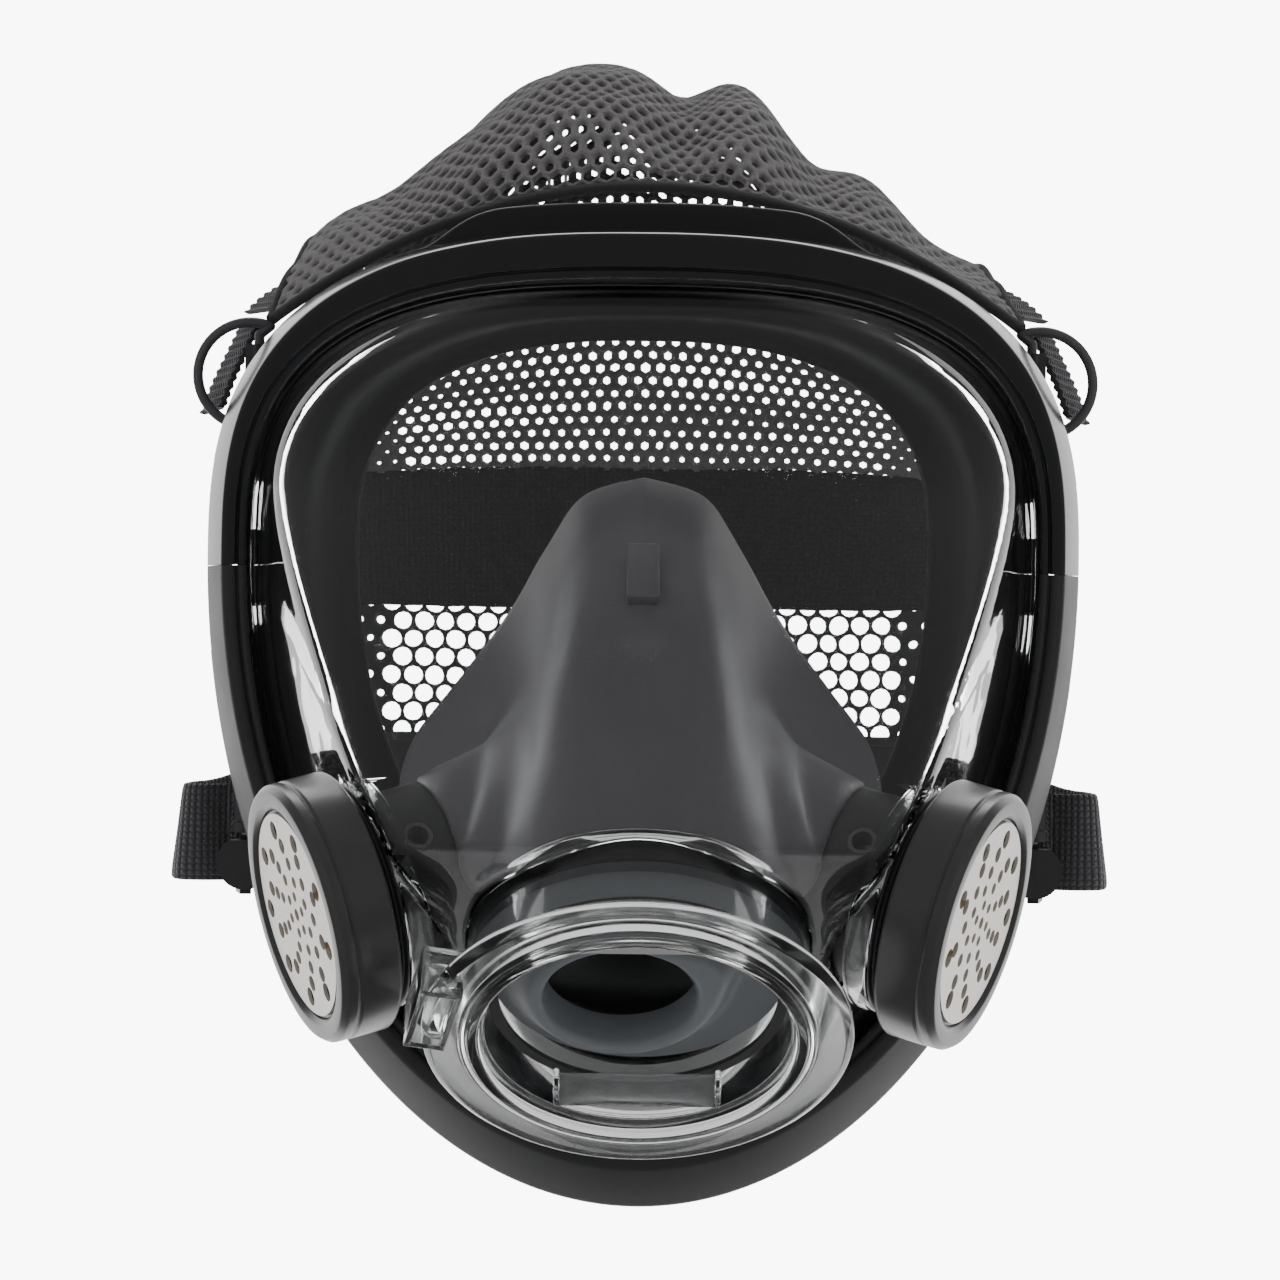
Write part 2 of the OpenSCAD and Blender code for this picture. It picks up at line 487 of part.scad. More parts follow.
lens();
regulator_port();
port_gasket();
frame_upper();
frame_lower();
frame_screws();
frame_nuts();
face_seal();
nose_cup();
nose_cup_adapter();
nose_cup_sleeve();
duct(1);  // duct_left
duct(-1);  // duct_right
voice_base(1);  // voice_base_left
voice_base(-1);  // voice_base_right
voice_cap(1);  // voice_cap_left
voice_cap(-1);  // voice_cap_right
voice_grille(1);  // voice_grille_left
voice_grille(-1);  // voice_grille_right
voice_diaphragm(1);  // voice_diaphragm_left
voice_diaphragm(-1);  // voice_diaphragm_right
voice_gasket(1);  // voice_gasket_left
voice_gasket(-1);  // voice_gasket_right
inhale_seat(1);  // inhale_seat_left
inhale_seat(-1);  // inhale_seat_right
inhale_flap(1);  // inhale_flap_left
inhale_flap(-1);  // inhale_flap_right
upper_lug(1);  // upper_lug_left
upper_lug(-1);  // upper_lug_right
strap_ring(1);  // strap_ring_left
strap_ring(-1);  // strap_ring_right
upper_strap(1);  // upper_strap_left
upper_strap(-1);  // upper_strap_right
upper_tail(1);  // upper_tail_left
upper_tail(-1);  // upper_tail_right
lower_lug(1);  // lower_lug_left
lower_lug(-1);  // lower_lug_right
lower_buckle(1);  // lower_buckle_left
lower_buckle(-1);  // lower_buckle_right
lower_strap(1);  // lower_strap_left
lower_strap(-1);  // lower_strap_right
lower_tail(1);  // lower_tail_left
lower_tail(-1);  // lower_tail_right
lower_pins();
net_crown();
net_band();
net_back();
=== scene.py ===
import math

import bpy
import bmesh
import numpy as np
from bpy.props import FloatProperty, FloatVectorProperty, IntProperty, PointerProperty
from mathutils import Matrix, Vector


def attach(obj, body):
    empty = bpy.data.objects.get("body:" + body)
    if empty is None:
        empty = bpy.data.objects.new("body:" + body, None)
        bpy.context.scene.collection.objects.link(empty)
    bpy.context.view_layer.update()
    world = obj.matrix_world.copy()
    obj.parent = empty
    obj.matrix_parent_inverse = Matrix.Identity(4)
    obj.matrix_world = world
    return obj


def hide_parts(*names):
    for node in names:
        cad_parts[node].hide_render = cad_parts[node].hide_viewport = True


bl_info = {
    "name": "Full Face Respirator",
    "version": (1, 0, 0),
    "blender": (4, 5, 0),
    "location": "View3D > Sidebar > Respirator",
    "description": "Builds the visible surfaces of a full face respirator around its solid model",
    "category": "Add Mesh",
}

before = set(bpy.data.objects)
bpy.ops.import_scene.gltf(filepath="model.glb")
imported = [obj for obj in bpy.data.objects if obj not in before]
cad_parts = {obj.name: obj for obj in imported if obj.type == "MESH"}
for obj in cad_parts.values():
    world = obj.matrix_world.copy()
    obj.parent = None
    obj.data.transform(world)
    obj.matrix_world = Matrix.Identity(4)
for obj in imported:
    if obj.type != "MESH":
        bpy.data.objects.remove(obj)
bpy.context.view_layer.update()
MM = 0.001
SIDES = ((1, "left"), (-1, "right"))
# light of the backdrop seen directly, light of it seen in a gloss, and light from all round
BACKGROUND, MIRRORED, AMBIENT = 9.0, 2.2, 0.22

# ---- sizes shared with the solid model, in millimetres ----
RIM_HALF_W, RIM_LEVEL, RIM_UP, RIM_DOWN, CROWN_POWER = 98.0, 18.0, 71.0, 142.0, 2.75
RIM_SIDE_Y, RIM_TOP_Y, RIM_CHIN_Y = 40.0, 4.0, 14.0
SIDE_SLOPE, LENS_CURVE, LENS_AT = 2.76, 0.0075, -3.1
PORT_TILT = math.radians(49)
PORT_N = np.array([0, -math.cos(PORT_TILT), -math.sin(PORT_TILT)])
PORT_UP = np.array([0, -math.sin(PORT_TILT), math.cos(PORT_TILT)])
PORT_C = np.array([0, -55.0, -80.7])
PORT_BACK, PORT_LEN, NECK_R, BORE_R, FLANGE_R = 18.0, 27.0, 35.0, 30.9, 43.5
NECK_C = PORT_C - PORT_BACK * PORT_N
VOICE_AT = np.array([57, -23.4, -54.0])
VOICE_DIR = np.array([0.9, -0.36, -0.243])
VOICE_DIR = VOICE_DIR / np.linalg.norm(VOICE_DIR)
KEY_HALF, ADAPTER_AT, CUP_WALL = 26.1, 18, 2.0
POD_DEPTH, DUCT_R, DUCT_LEN, CAP_R = 16.0, 20.0, 20.0, 27.6
SEAL_SHARE, CHIN_SHARE, SEAL_FOOT, SPLIT_AT = 0.65, 0.17, 9.4, math.radians(-1)
CROWN_END, BAND_START, BAND_END, NAPE_START, ROW_SHARE = 0.768, 0.766, 0.898, 0.896, 0.866
# head net stations: back, up, half width, drop of the sides, set-back of the sides
NET_RUN = np.array([
    [20, 99, 84, 28, 26], [30, 115, 80, 34, 22], [50, 127, 75, 37, 14], [76, 131, 71, 41, 4],
    [99, 121, 69, 41, -6], [112, 99, 70, 31, -12], [117, 68, 71, 13, -14], [118, 38, 72, 3, -14],
    [117, 10, 71, 0, -12], [113, -24, 69, 0, -10]], float)
# nose cup's face edge on the wearer's left, from the nose bridge to the chin
CUP_EDGE = np.array([[0, 2, 34], [13, 4, 30], [21, 9, 19], [29, 12, 5], [40, 14, -10], [50, 15, -24],
                     [52, 15, -40], [44, 13, -60], [26, 11, -76], [0, 10, -84]], float)


# ---- curves ----
def lerp(a, b, w):
    """a moved to b by the share w."""
    return a + (b - a) * w


def smooth(w):
    """Soft step: 3w^2 - 2w^3 between 0 and 1."""
    c = np.clip(w, 0, 1)
    return c * c * (3 - 2 * c)


def bump(x, width):
    """Bell of height 1 and the given half width: exp(-(x / width)^2)."""
    return np.exp(-(x / width) ** 2)


def unit(v):
    """Vectors scaled to length 1."""
    return v / np.maximum(np.linalg.norm(v, axis=-1, keepdims=True), 1e-9)


def soft_max(a, b, k):
    """The larger of two heights, rounded over k: half of a + b + sqrt((a - b)^2 + k^2)."""
    return (a + b + np.sqrt((a - b) ** 2 + k * k)) / 2


def through(p, w):
    """Smooth curve through the rows of p, w from 0 to 1, by Catmull-Rom cubic pieces."""
    p = np.asarray(p, float)
    n = len(p) - 1
    s = np.clip(w, 0, 1) * n
    i = np.minimum(np.floor(s).astype(int), n - 1)
    f = (s - i)[..., None]
    a, b, c, d = p[np.maximum(i - 1, 0)], p[i], p[i + 1], p[np.minimum(i + 2, n)]
    square, cube = 2 * a - 5 * b + 4 * c - d, 3 * b - a - 3 * c + d
    return 0.5 * (2 * b + (c - a) * f + square * f * f + cube * f ** 3)


def rounded(rings, radius, steps=4):
    """Each corner of closed rings of points (n, m, 3) is cut back by radius and bridged with a parabola of
    steps points."""
    a, b = np.roll(rings, 1, axis=1) - rings, np.roll(rings, -1, axis=1) - rings
    la = np.maximum(np.linalg.norm(a, axis=-1, keepdims=True), 1e-6)
    lb = np.maximum(np.linalg.norm(b, axis=-1, keepdims=True), 1e-6)
    pa = (rings + a * np.minimum(radius / la, 0.46))[:, :, None]
    pb = (rings + b * np.minimum(radius / lb, 0.46))[:, :, None]
    s = np.linspace(0, 1, steps)[None, None, :, None]
    curve = (1 - s) ** 2 * pa + 2 * s * (1 - s) * rings[:, :, None] + s * s * pb
    return curve.reshape(len(rings), -1, 3)


# ---- outline of the frame, angle t from the wearer's left, up over the forehead ----
def edge_x(t):
    """Half width times the cosine, squared off above the widest level."""
    return RIM_HALF_W * np.sign(np.cos(t)) * np.abs(np.cos(t)) ** np.where(np.sin(t) > 0, 2 / CROWN_POWER, 1)


def edge_z(t):
    """Level plus the rise or drop times the sine, squared off above the widest level."""
    up = np.sin(t) > 0
    return RIM_LEVEL + np.where(up, RIM_UP, RIM_DOWN) * np.sign(np.sin(t)) * np.abs(np.sin(t)) ** np.where(
        up, 2 / CROWN_POWER, 1)


def edge_normal(t):
    """Outward normal of the outline in the XZ plane, from the chord across one degree."""
    h = math.radians(0.5)
    dx, dz = edge_x(t + h) - edge_x(t - h), edge_z(t + h) - edge_z(t - h)
    size = np.hypot(dx, dz)
    return dz / size, -dx / size


def rim_y(t):
    """Depth of the rim line: the middle's depth plus a share that grows with the square of the width."""
    end = np.where(np.sin(t) > 0, RIM_TOP_Y, RIM_CHIN_Y)
    return end + (RIM_SIDE_Y - end) * (edge_x(t) / RIM_HALF_W) ** 2


def rim(t, r, h):
    """Point r inside the outline and h behind the rim line."""
    nx, nz = edge_normal(t)
    return np.stack(np.broadcast_arrays(edge_x(t) - r * nx, rim_y(t) + h, edge_z(t) - r * nz), -1)


def flare(t):
    """How far the frame's wall leans in towards its front."""
    s = np.sin(t)
    return np.where(s > 0, 4.5 - 2.5 * s * s, 4.5 + 5.5 * s * s)


def lip_w(t):
    """Width of the frame's front lip."""
    s = np.sin(t)
    return np.where(s > 0, 5.5 + 4.5 * s * s, 5.5 + 0.5 * s * s)


def lens_edge(t):
    """Distance from the outline to where the lens starts."""
    return flare(t) + lip_w(t) + 0.5


def face_point(t, h):
    """Outline shrunk towards the middle, more so under the chin: where the seal meets the face."""
    k = SEAL_SHARE - CHIN_SHARE * np.maximum(0, -np.sin(t)) ** 6
    z = RIM_LEVEL + k * (edge_z(t) - RIM_LEVEL)
    return np.stack(np.broadcast_arrays(k * edge_x(t), rim_y(t) + h, z), -1)


# ---- lens ----
def centre_y(z):
    """Depth of the lens's middle line: a slope with a slight bend above the port, then the port's own plane,
    joined by soft_max."""
    z0 = -45
    u = np.maximum(z - z0, -20)
    tan = math.tan(PORT_TILT)
    top = NECK_C[1] - (z0 - NECK_C[2]) * tan
    return soft_max(top + 0.303 * u + 0.00215 * u * np.abs(u), NECK_C[1] - (z - NECK_C[2]) * tan, 6)


def lens_y(t, x, z):
    """Depth of the lens: the rounded larger of the curved front, which falls back with the square of the width,
    and the steep side wall that rises from the rim."""
    front = centre_y(z) + (LENS_CURVE - 0.0035 * smooth((z - 30) / 40)) * x * x
    e = rim(t, lens_edge(t), 0)
    nx, nz = edge_normal(t)
    d = (e[..., 0] - x) * nx + (e[..., 2] - z) * nz
    slope = SIDE_SLOPE - 0.6 * np.maximum(0, np.sin(t)) ** 2
    return soft_max(front, e[..., 1] + LENS_AT - slope * d, 3)


def neck_edge(t, radius):
    """Ring of the port's neck slid back along its axis until it lies on the lens."""
    back = np.zeros_like(t)
    for _ in range(14):
        p = NECK_C + radius * (np.cos(t)[..., None] * np.array([1, 0, 0]) + np.sin(t)[..., None] * PORT_UP)
        p = p - back[..., None] * PORT_N
        back = back + lens_y(t, p[..., 0], p[..., 2]) - p[..., 1]
    return p


def lens_front(t, w):
    """Lens surface between the rim (w = 0) and the port's neck (w = 1)."""
    a, b = rim(t, lens_edge(t), 0), neck_edge(t, NECK_R + 0.2)
    x, z = lerp(a[..., 0], b[..., 0], w), lerp(a[..., 2], b[..., 2], w)
    return np.stack([x, lens_y(t, x, z), z], -1)


# ---- frames of reference for the port and the speech pods ----
def port_basis(depth=0.0):
    """Origin and axes of the regulator port, the third axis pointing outwards."""
    return PORT_C - depth * PORT_N, np.array([1.0, 0, 0]), PORT_UP, PORT_N


def pod_basis(side):
    """Origin and axes of a speech pod, the third axis pointing outwards."""
    polar, turn = math.acos(VOICE_DIR[2]), math.atan2(VOICE_DIR[1], VOICE_DIR[0])
    x = np.array([math.cos(polar) * math.cos(turn), math.cos(polar) * math.sin(turn), -math.sin(polar)])
    y = np.array([-math.sin(turn), math.cos(turn), 0])
    flip = np.array([side, 1, 1])
    return VOICE_AT * flip, x * flip, y * flip, VOICE_DIR * flip


def in_pod(side, p):
    """Distance of points from a pod's axis, their height along it, and the direction away from the axis."""
    o, _, _, n = pod_basis(side)
    h = (p - o) @ n
    off = p - o - h[..., None] * n
    return np.linalg.norm(off, axis=-1), h, unit(off)


# ---- nose cup, angle a from the nose bridge round to the chin ----
def cup_plain(a, s):
    """Straight line from the face edge (s = 0) to the ring behind the port (s = 1), swollen by a half sine over
    the nose and cheeks."""
    b = np.mod(a, 2 * np.pi)
    m = np.where(b > np.pi, 2 * np.pi - b, b) / np.pi
    one = np.ones_like(b)
    edge = through(CUP_EDGE, m) * np.stack([np.where(b > np.pi, -1, 1), one, one], -1)
    ring = (PORT_C - (PORT_LEN + 0.4) * PORT_N) + 33.6 * (
        np.sin(a)[..., None] * np.array([1, 0, 0]) + np.cos(a)[..., None] * PORT_UP)
    top, side = np.maximum(0, np.cos(a)) ** 1.5, np.sin(a) ** 2
    swell = np.stack([-9 * np.sin(a) * side, -10 * top - 3 * side, 12 * top], -1)
    return lerp(edge, ring, s[..., None]) + np.sin(np.pi * s ** 0.8)[..., None] * swell


def cup_point(a, s):
    """Nose cup's outer surface: the plain cup, flattened into a seat for each duct, with a bell-shaped cowl
    round it, and pressed in along a valley below the nose ridge."""
    p = cup_plain(a, s)
    fade = smooth((1 - s) / 0.12)
    for side, _ in SIDES:
        r, h, _ = in_pod(side, p)
        n = pod_basis(side)[3]
        mine = (np.sin(a) * side > 0) * fade * smooth((s - 0.03) / 0.15)
        flat = smooth((25 - r) / 5)
        cowl = 8 * bump(r - 24.5, 5.5) * smooth((s - 0.2) / 0.25) * smooth((0.97 - s) / 0.15)
        p = p + n * (((-DUCT_LEN - 0.6 - h) * flat + cowl) * mine)[..., None]
    valley = 6 * bump(p[..., 0], 13) * bump(s - 0.72, 0.15) * (np.cos(a) > 0)
    return p + valley[..., None] * np.array([0, 1, 0])


# ---- head net, u across from -1 to 1, v from the forehead edge over the crown to the nape ----
# folds over the crown: place across, half width, height
FOLDS = ((-52, 18, -5), (-20, 14, 2.0), (8, 9, -7), (20, 6, 0), (37, 10, -10), (61, 16, -9), (-74, 12, 2))


def net_surface(u, v):
    """Smooth run of arches: back, up and half width from the stations, the sides dropping with u squared,
    plus the folds of the slack cloth over the crown and a fine ripple."""
    s = through(NET_RUN, v)
    q = u * u
    x = s[..., 2] * u
    y = s[..., 0] + s[..., 4] * q
    z = s[..., 1] - s[..., 3] * q
    crown = smooth(v / 0.12) * smooth((0.6 - v) / 0.2)
    for at, width, height in FOLDS:
        z = z + height * bump(x - at, width) * crown
    ripple = np.sin(x / 5.3 + 2.1 * np.sin(v * 19)) * np.sin(v * 46 + x / 17)
    z = z + 0.9 * ripple * crown
    y = y + 1.1 * np.sin(x / 9 + 8 * v) * smooth((v - 0.45) / 0.2)
    return np.stack([x, y, z], -1)


def net_normal(u, v):
    """Cross product of the two small steps across and along the net."""
    a = net_surface(u + 0.01, v) - net_surface(u - 0.01, v)
    b = net_surface(u, np.minimum(v + 0.004, 1)) - net_surface(u, np.maximum(v - 0.004, 0))
    return unit(np.cross(a, b))


# ---- meshes from arrays ----
def grid_faces(n, m, wrap_n=True, wrap_m=True):
    """Four-sided faces of an n by m grid of points, joined round where asked."""
    i = np.arange(n if wrap_n else n - 1)[:, None]
    j = np.arange(m if wrap_m else m - 1)[None, :]
    i2, j2 = (i + 1) % n, (j + 1) % m
    return np.stack(np.broadcast_arrays(i * m + j, i2 * m + j, i2 * m + j2, i * m + j2), -1).reshape(-1, 4)


def signed_volume(points, faces):
    """Sum of the tetrahedra from the origin to each four-sided face's two triangles."""
    a, b, c, d = (points[faces[:, k]] for k in range(4))
    halves = (np.einsum("ij,ij->i", a, np.cross(p, q)).sum() for p, q in ((b, c), (c, d)))
    return sum(halves) / 6


def make_piece(name, points, faces, material, caps=(), uv=None, sharp=None, closed=True, merge=0.0):
    """Object whose points are in millimetres. Closed shells are turned outwards; uv is one pair per point."""
    pts = np.asarray(points, float).reshape(-1, 3) * MM
    faces = np.asarray(faces)
    caps = [list(map(int, c)) for c in caps]
    if closed and signed_volume(pts - pts.mean(0), faces) < 0:
        faces, caps = faces[:, ::-1], [c[::-1] for c in caps]
    mesh = bpy.data.meshes.new(name)
    mesh.from_pydata(pts.tolist(), [], faces.tolist() + caps)
    if uv is not None:
        loops = np.empty(len(mesh.loops), np.int32)
        mesh.loops.foreach_get("vertex_index", loops)
        layer = mesh.uv_layers.new(name="Cloth")
        layer.data.foreach_set("uv", np.asarray(uv, np.float32).reshape(-1, 2)[loops].ravel())
    mesh.polygons.foreach_set("use_smooth", np.ones(len(mesh.polygons), bool))
    if merge:
        bm = bmesh.new()
        bm.from_mesh(mesh)
        bmesh.ops.remove_doubles(bm, verts=bm.verts, dist=merge * MM)
        bm.to_mesh(mesh)
        bm.free()
    if sharp:
        mesh.set_sharp_from_angle(angle=math.radians(sharp))
    mesh.update()
    obj = bpy.data.objects.new(name, mesh)
    bpy.context.scene.collection.objects.link(obj)
    mesh.materials.append(material)
    return obj


def settle(obj, body, slot, *nodes):
    """The piece rides on a body and stands for CAD nodes, which are hidden; the slot is not used."""
    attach(obj, body)
    if nodes:
        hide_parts(*nodes)
    return obj


def loop_piece(name, rings, material, closed=True, **more):
    """Skin over rings of points (n, m, 3), joined round or capped at both ends."""
    n, m = rings.shape[:2]
    caps = () if closed else (np.arange(m)[::-1], (n - 1) * m + np.arange(m))
    return make_piece(name, rings, grid_faces(n, m, closed, True), material, caps=caps, **more)


def lathe_rings(profile, basis, count=144, round_by=0.0, steps=4):
    """Closed profile of (radius, height) pairs turned about the basis's third axis."""
    o, x, y, n = basis
    p = np.asarray(profile, float)
    ring = np.stack([p[:, 0], np.zeros(len(p)), p[:, 1]], -1)[None]
    if round_by:
        ring = rounded(ring, round_by, steps)
    a = np.linspace(0, 2 * np.pi, count, endpoint=False)[:, None]
    r, h = ring[:, :, 0], ring[:, :, 2]
    return o + (r * np.cos(a))[..., None] * x + (r * np.sin(a))[..., None] * y + np.broadcast_to(
        h, (count, h.shape[1]))[..., None] * n


def add_thickness(obj, thickness):
    """Gives an open sheet its wall, grown backwards from its faces, and closes its edges."""
    mod = obj.modifiers.new("Wall", "SOLIDIFY")
    mod.thickness = thickness * MM
    mod.offset = 1.0 if outward(obj) < 0 else -1.0
    mod.use_even_offset = True
    return obj


def open_round_holes(points, faces, side, radius):
    """Faces inside a pod's radius go, and the points left on the hole's edge move out to the radius."""
    r, _, away = in_pod(side, points)
    inside = (r < radius) & (points[:, 0] * side > 0)
    keep = ~inside[faces].all(axis=1)
    snap = inside & np.isin(np.arange(len(points)), faces[keep])
    points = points + np.where(snap[:, None], away * (radius - r)[:, None], 0)
    return points, faces[keep]


def drop_loose(points, faces):
    """Points that no face uses are left out."""
    used, index = np.unique(faces, return_inverse=True)
    return points[used], index.reshape(faces.shape)


# ---- node groups shared by materials ----
def new_group(name, inputs, outputs):
    """Node group with its named sockets; returns it with its input and output nodes."""
    group = bpy.data.node_groups.new(name, "ShaderNodeTree")
    for kind, label, value in inputs:
        group.interface.new_socket(label, in_out="INPUT", socket_type=kind).default_value = value
    for kind, label in outputs:
        group.interface.new_socket(label, in_out="OUTPUT", socket_type=kind)
    return group, group.nodes.new("NodeGroupInput"), group.nodes.new("NodeGroupOutput")


def math_node(nodes, links, kind, a, b=None):
    """A Math node with numbers or sockets on its inputs; returns its output."""
    node = nodes.new("ShaderNodeMath")
    node.operation = kind
    for k, value in enumerate((a, b)):
        if value is None:
            continue
        if isinstance(value, (int, float)):
            node.inputs[k].default_value = value
        else:
            links.new(value, node.inputs[k])
    return node.outputs[0]


def shade(nodes, links, colour, low, high, mask):
    """Colour multiplied by a brightness that runs from low to high with the mask."""
    span = nodes.new("ShaderNodeMapRange")
    span.inputs["To Min"].default_value = low
    span.inputs["To Max"].default_value = high
    links.new(mask, span.inputs["Value"])
    mix = nodes.new("ShaderNodeVectorMath")
    mix.operation = "SCALE"
    links.new(colour, mix.inputs[0])
    links.new(span.outputs[0], mix.inputs["Scale"])
    return mix.outputs[0]


def noise(nodes, links, place, scale, detail=2, roughness=0.5):
    """Noise at a place, its scale a number or a socket; returns its value."""
    node = nodes.new("ShaderNodeTexNoise")
    links.new(place, node.inputs["Vector"])
    if isinstance(scale, (int, float)):
        node.inputs["Scale"].default_value = scale
    else:
        links.new(scale, node.inputs["Scale"])
    node.inputs["Detail"].default_value = detail
    node.inputs["Roughness"].default_value = roughness
    return node.outputs["Fac"]


def relief(nodes, links, height, depth, target):
    """Bump of a height, its depth a number or a socket, into a target socket."""
    node = nodes.new("ShaderNodeBump")
    links.new(height, node.inputs["Height"])
    if isinstance(depth, (int, float)):
        node.inputs["Distance"].default_value = depth
    else:
        links.new(depth, node.inputs["Distance"])
    links.new(node.outputs[0], target)


def moulded_group():
    """Moulded rubber or plastic: fine grain in the normal, cloudy colour, and handled patches in the
    roughness."""
    group, start, end = new_group("Moulded Surface", [
        ("NodeSocketColor", "Color", (0.1, 0.1, 0.1, 1)), ("NodeSocketFloat", "Roughness", 0.4),
        ("NodeSocketFloat", "Grain Scale", 2500), ("NodeSocketFloat", "Grain Depth", 0.00003),
        ("NodeSocketFloat", "Cloud", 0.25)],
        [("NodeSocketColor", "Color"), ("NodeSocketFloat", "Roughness"), ("NodeSocketVector", "Normal")])
    nodes, links = group.nodes, group.links
    place = nodes.new("ShaderNodeTexCoord").outputs["Object"]
    grain = noise(nodes, links, place, start.outputs["Grain Scale"])
    cloud = noise(nodes, links, place, 38, 5, 0.62)
    relief(nodes, links, grain, start.outputs["Grain Depth"], end.inputs["Normal"])
    swing = math_node(nodes, links, "SUBTRACT", cloud, 0.5)
    swing = math_node(nodes, links, "MULTIPLY", swing, start.outputs["Cloud"])
    rough = math_node(nodes, links, "ADD", start.outputs["Roughness"], swing)
    links.new(rough, end.inputs["Roughness"])
    bright = math_node(nodes, links, "ADD", math_node(nodes, links, "MULTIPLY", swing, 1.6), 1.0)
    mix = nodes.new("ShaderNodeVectorMath")
    mix.operation = "SCALE"
    links.new(start.outputs["Color"], mix.inputs[0])
    links.new(bright, mix.inputs["Scale"])
    links.new(mix.outputs[0], end.inputs["Color"])
    return group


def woven_group():
    """Basket weave on the piece's own UV map: raised threads where the two sine waves agree, with painted shade
    darkening the colour between them.
    """
    group, start, end = new_group("Woven Threads", [
        ("NodeSocketColor", "Color", (0.05, 0.05, 0.05, 1)), ("NodeSocketFloat", "Threads", 900),
        ("NodeSocketFloat", "Depth", 0.0003)],
        [("NodeSocketColor", "Color"), ("NodeSocketFloat", "Roughness"), ("NodeSocketVector", "Normal")])
    nodes, links = group.nodes, group.links
    uv = nodes.new("ShaderNodeUVMap")
    uv.uv_map = "Cloth"
    parts = nodes.new("ShaderNodeSeparateXYZ")
    links.new(uv.outputs[0], parts.inputs[0])
    waves = []
    for axis in ("X", "Y"):
        turned = math_node(nodes, links, "MULTIPLY", parts.outputs[axis], start.outputs["Threads"])
        waves.append(math_node(nodes, links, "SINE", turned))
    height = math_node(nodes, links, "ABSOLUTE", math_node(nodes, links, "MULTIPLY", *waves))
    fuzz = noise(nodes, links, nodes.new("ShaderNodeTexCoord").outputs["Object"], 2600)
    relief_and_shade = math_node(nodes, links, "ADD", height, math_node(nodes, links, "MULTIPLY", fuzz, 0.5))
    relief(nodes, links, relief_and_shade, start.outputs["Depth"], end.inputs["Normal"])
    # painted shade: the colour runs from dark in the hollows between threads to light on their crowns, plus
    # random tone from the fuzz
    links.new(shade(nodes, links, start.outputs["Color"], 0.45, 1.7, relief_and_shade), end.inputs["Color"])
    links.new(math_node(nodes, links, "ADD", 0.7, math_node(nodes, links, "MULTIPLY", height, 0.2)),
              end.inputs["Roughness"])
    return group


def yarn_group():
    """Knitted cord: twisted bands across the yarn and loose fibres, read from the object's own position, with
    painted shade darkening the colour in the twist's grooves.
    """
    group, start, end = new_group("Knitted Yarn", [
        ("NodeSocketColor", "Color", (0.06, 0.06, 0.06, 1)), ("NodeSocketFloat", "Twist", 1900)],
        [("NodeSocketColor", "Color"), ("NodeSocketFloat", "Roughness"), ("NodeSocketVector", "Normal")])
    nodes, links = group.nodes, group.links
    place = nodes.new("ShaderNodeTexCoord").outputs["Object"]
    twist = nodes.new("ShaderNodeTexWave")
    twist.wave_type = "BANDS"
    twist.bands_direction = "DIAGONAL"
    twist.inputs["Distortion"].default_value = 5
    twist.inputs["Detail"].default_value = 2
    twist.inputs["Detail Scale"].default_value = 2.5
    links.new(place, twist.inputs["Vector"])
    links.new(start.outputs["Twist"], twist.inputs["Scale"])
    fibre = noise(nodes, links, place, 1400, 3)
    relief_and_shade = math_node(nodes, links, "ADD", math_node(nodes, links, "MULTIPLY", twist.outputs["Fac"], 0.6),
                      math_node(nodes, links, "MULTIPLY", fibre, 0.6))
    relief(nodes, links, relief_and_shade, 0.00025, end.inputs["Normal"])
    # painted shade: the colour runs from dark in the grooves of the twist to light on its ridges, plus random
    # tone from the fibres
    links.new(shade(nodes, links, start.outputs["Color"], 0.4, 1.8, relief_and_shade), end.inputs["Color"])
    links.new(math_node(nodes, links, "ADD", 0.62, math_node(nodes, links, "MULTIPLY", fibre, 0.3)),
              end.inputs["Roughness"])
    return group


# ---- materials ----
MATERIALS = {}


def start_material(name):
    """New material under a name, with its nodes, links and shader."""
    mat = bpy.data.materials.new(name)
    mat.use_nodes = True
    MATERIALS[name] = mat
    return mat, mat.node_tree.nodes, mat.node_tree.links, mat.node_tree.nodes["Principled BSDF"]


def with_group(name, group, values, **principled):
    """Material whose colour, roughness and normal come from a shared group, other values set on the shader."""
    mat, nodes, links, shader = start_material(name)
    node = nodes.new("ShaderNodeGroup")
    node.node_tree = group
    for label, value in values.items():
        node.inputs[label].default_value = value
    for label, socket in (("Color", "Base Color"), ("Roughness", "Roughness"), ("Normal", "Normal")):
        links.new(node.outputs[label], shader.inputs[socket])
    for label, value in principled.items():
        shader.inputs[label.replace("_", " ")].default_value = value
    return mat


def clear_material(name, colour, roughness, haze):
    """Clear moulded plastic: full transmission with faint flow waves, and scuffs in the roughness."""
    mat, nodes, links, shader = start_material(name)
    shader.inputs["Base Color"].default_value = (*colour, 1)
    shader.inputs["Transmission Weight"].default_value = 1.0
    shader.inputs["IOR"].default_value = 1.5
    place = nodes.new("ShaderNodeTexCoord").outputs["Object"]
    span = nodes.new("ShaderNodeMapRange")
    span.inputs["From Min"].default_value = 0.45
    span.inputs["From Max"].default_value = 0.8
    span.inputs["To Min"].default_value = roughness
    span.inputs["To Max"].default_value = roughness + haze
    links.new(noise(nodes, links, place, 160, 6), span.inputs["Value"])
    links.new(span.outputs[0], shader.inputs["Roughness"])
    relief(nodes, links, noise(nodes, links, place, 45), 0.00008, shader.inputs["Normal"])
    return mat


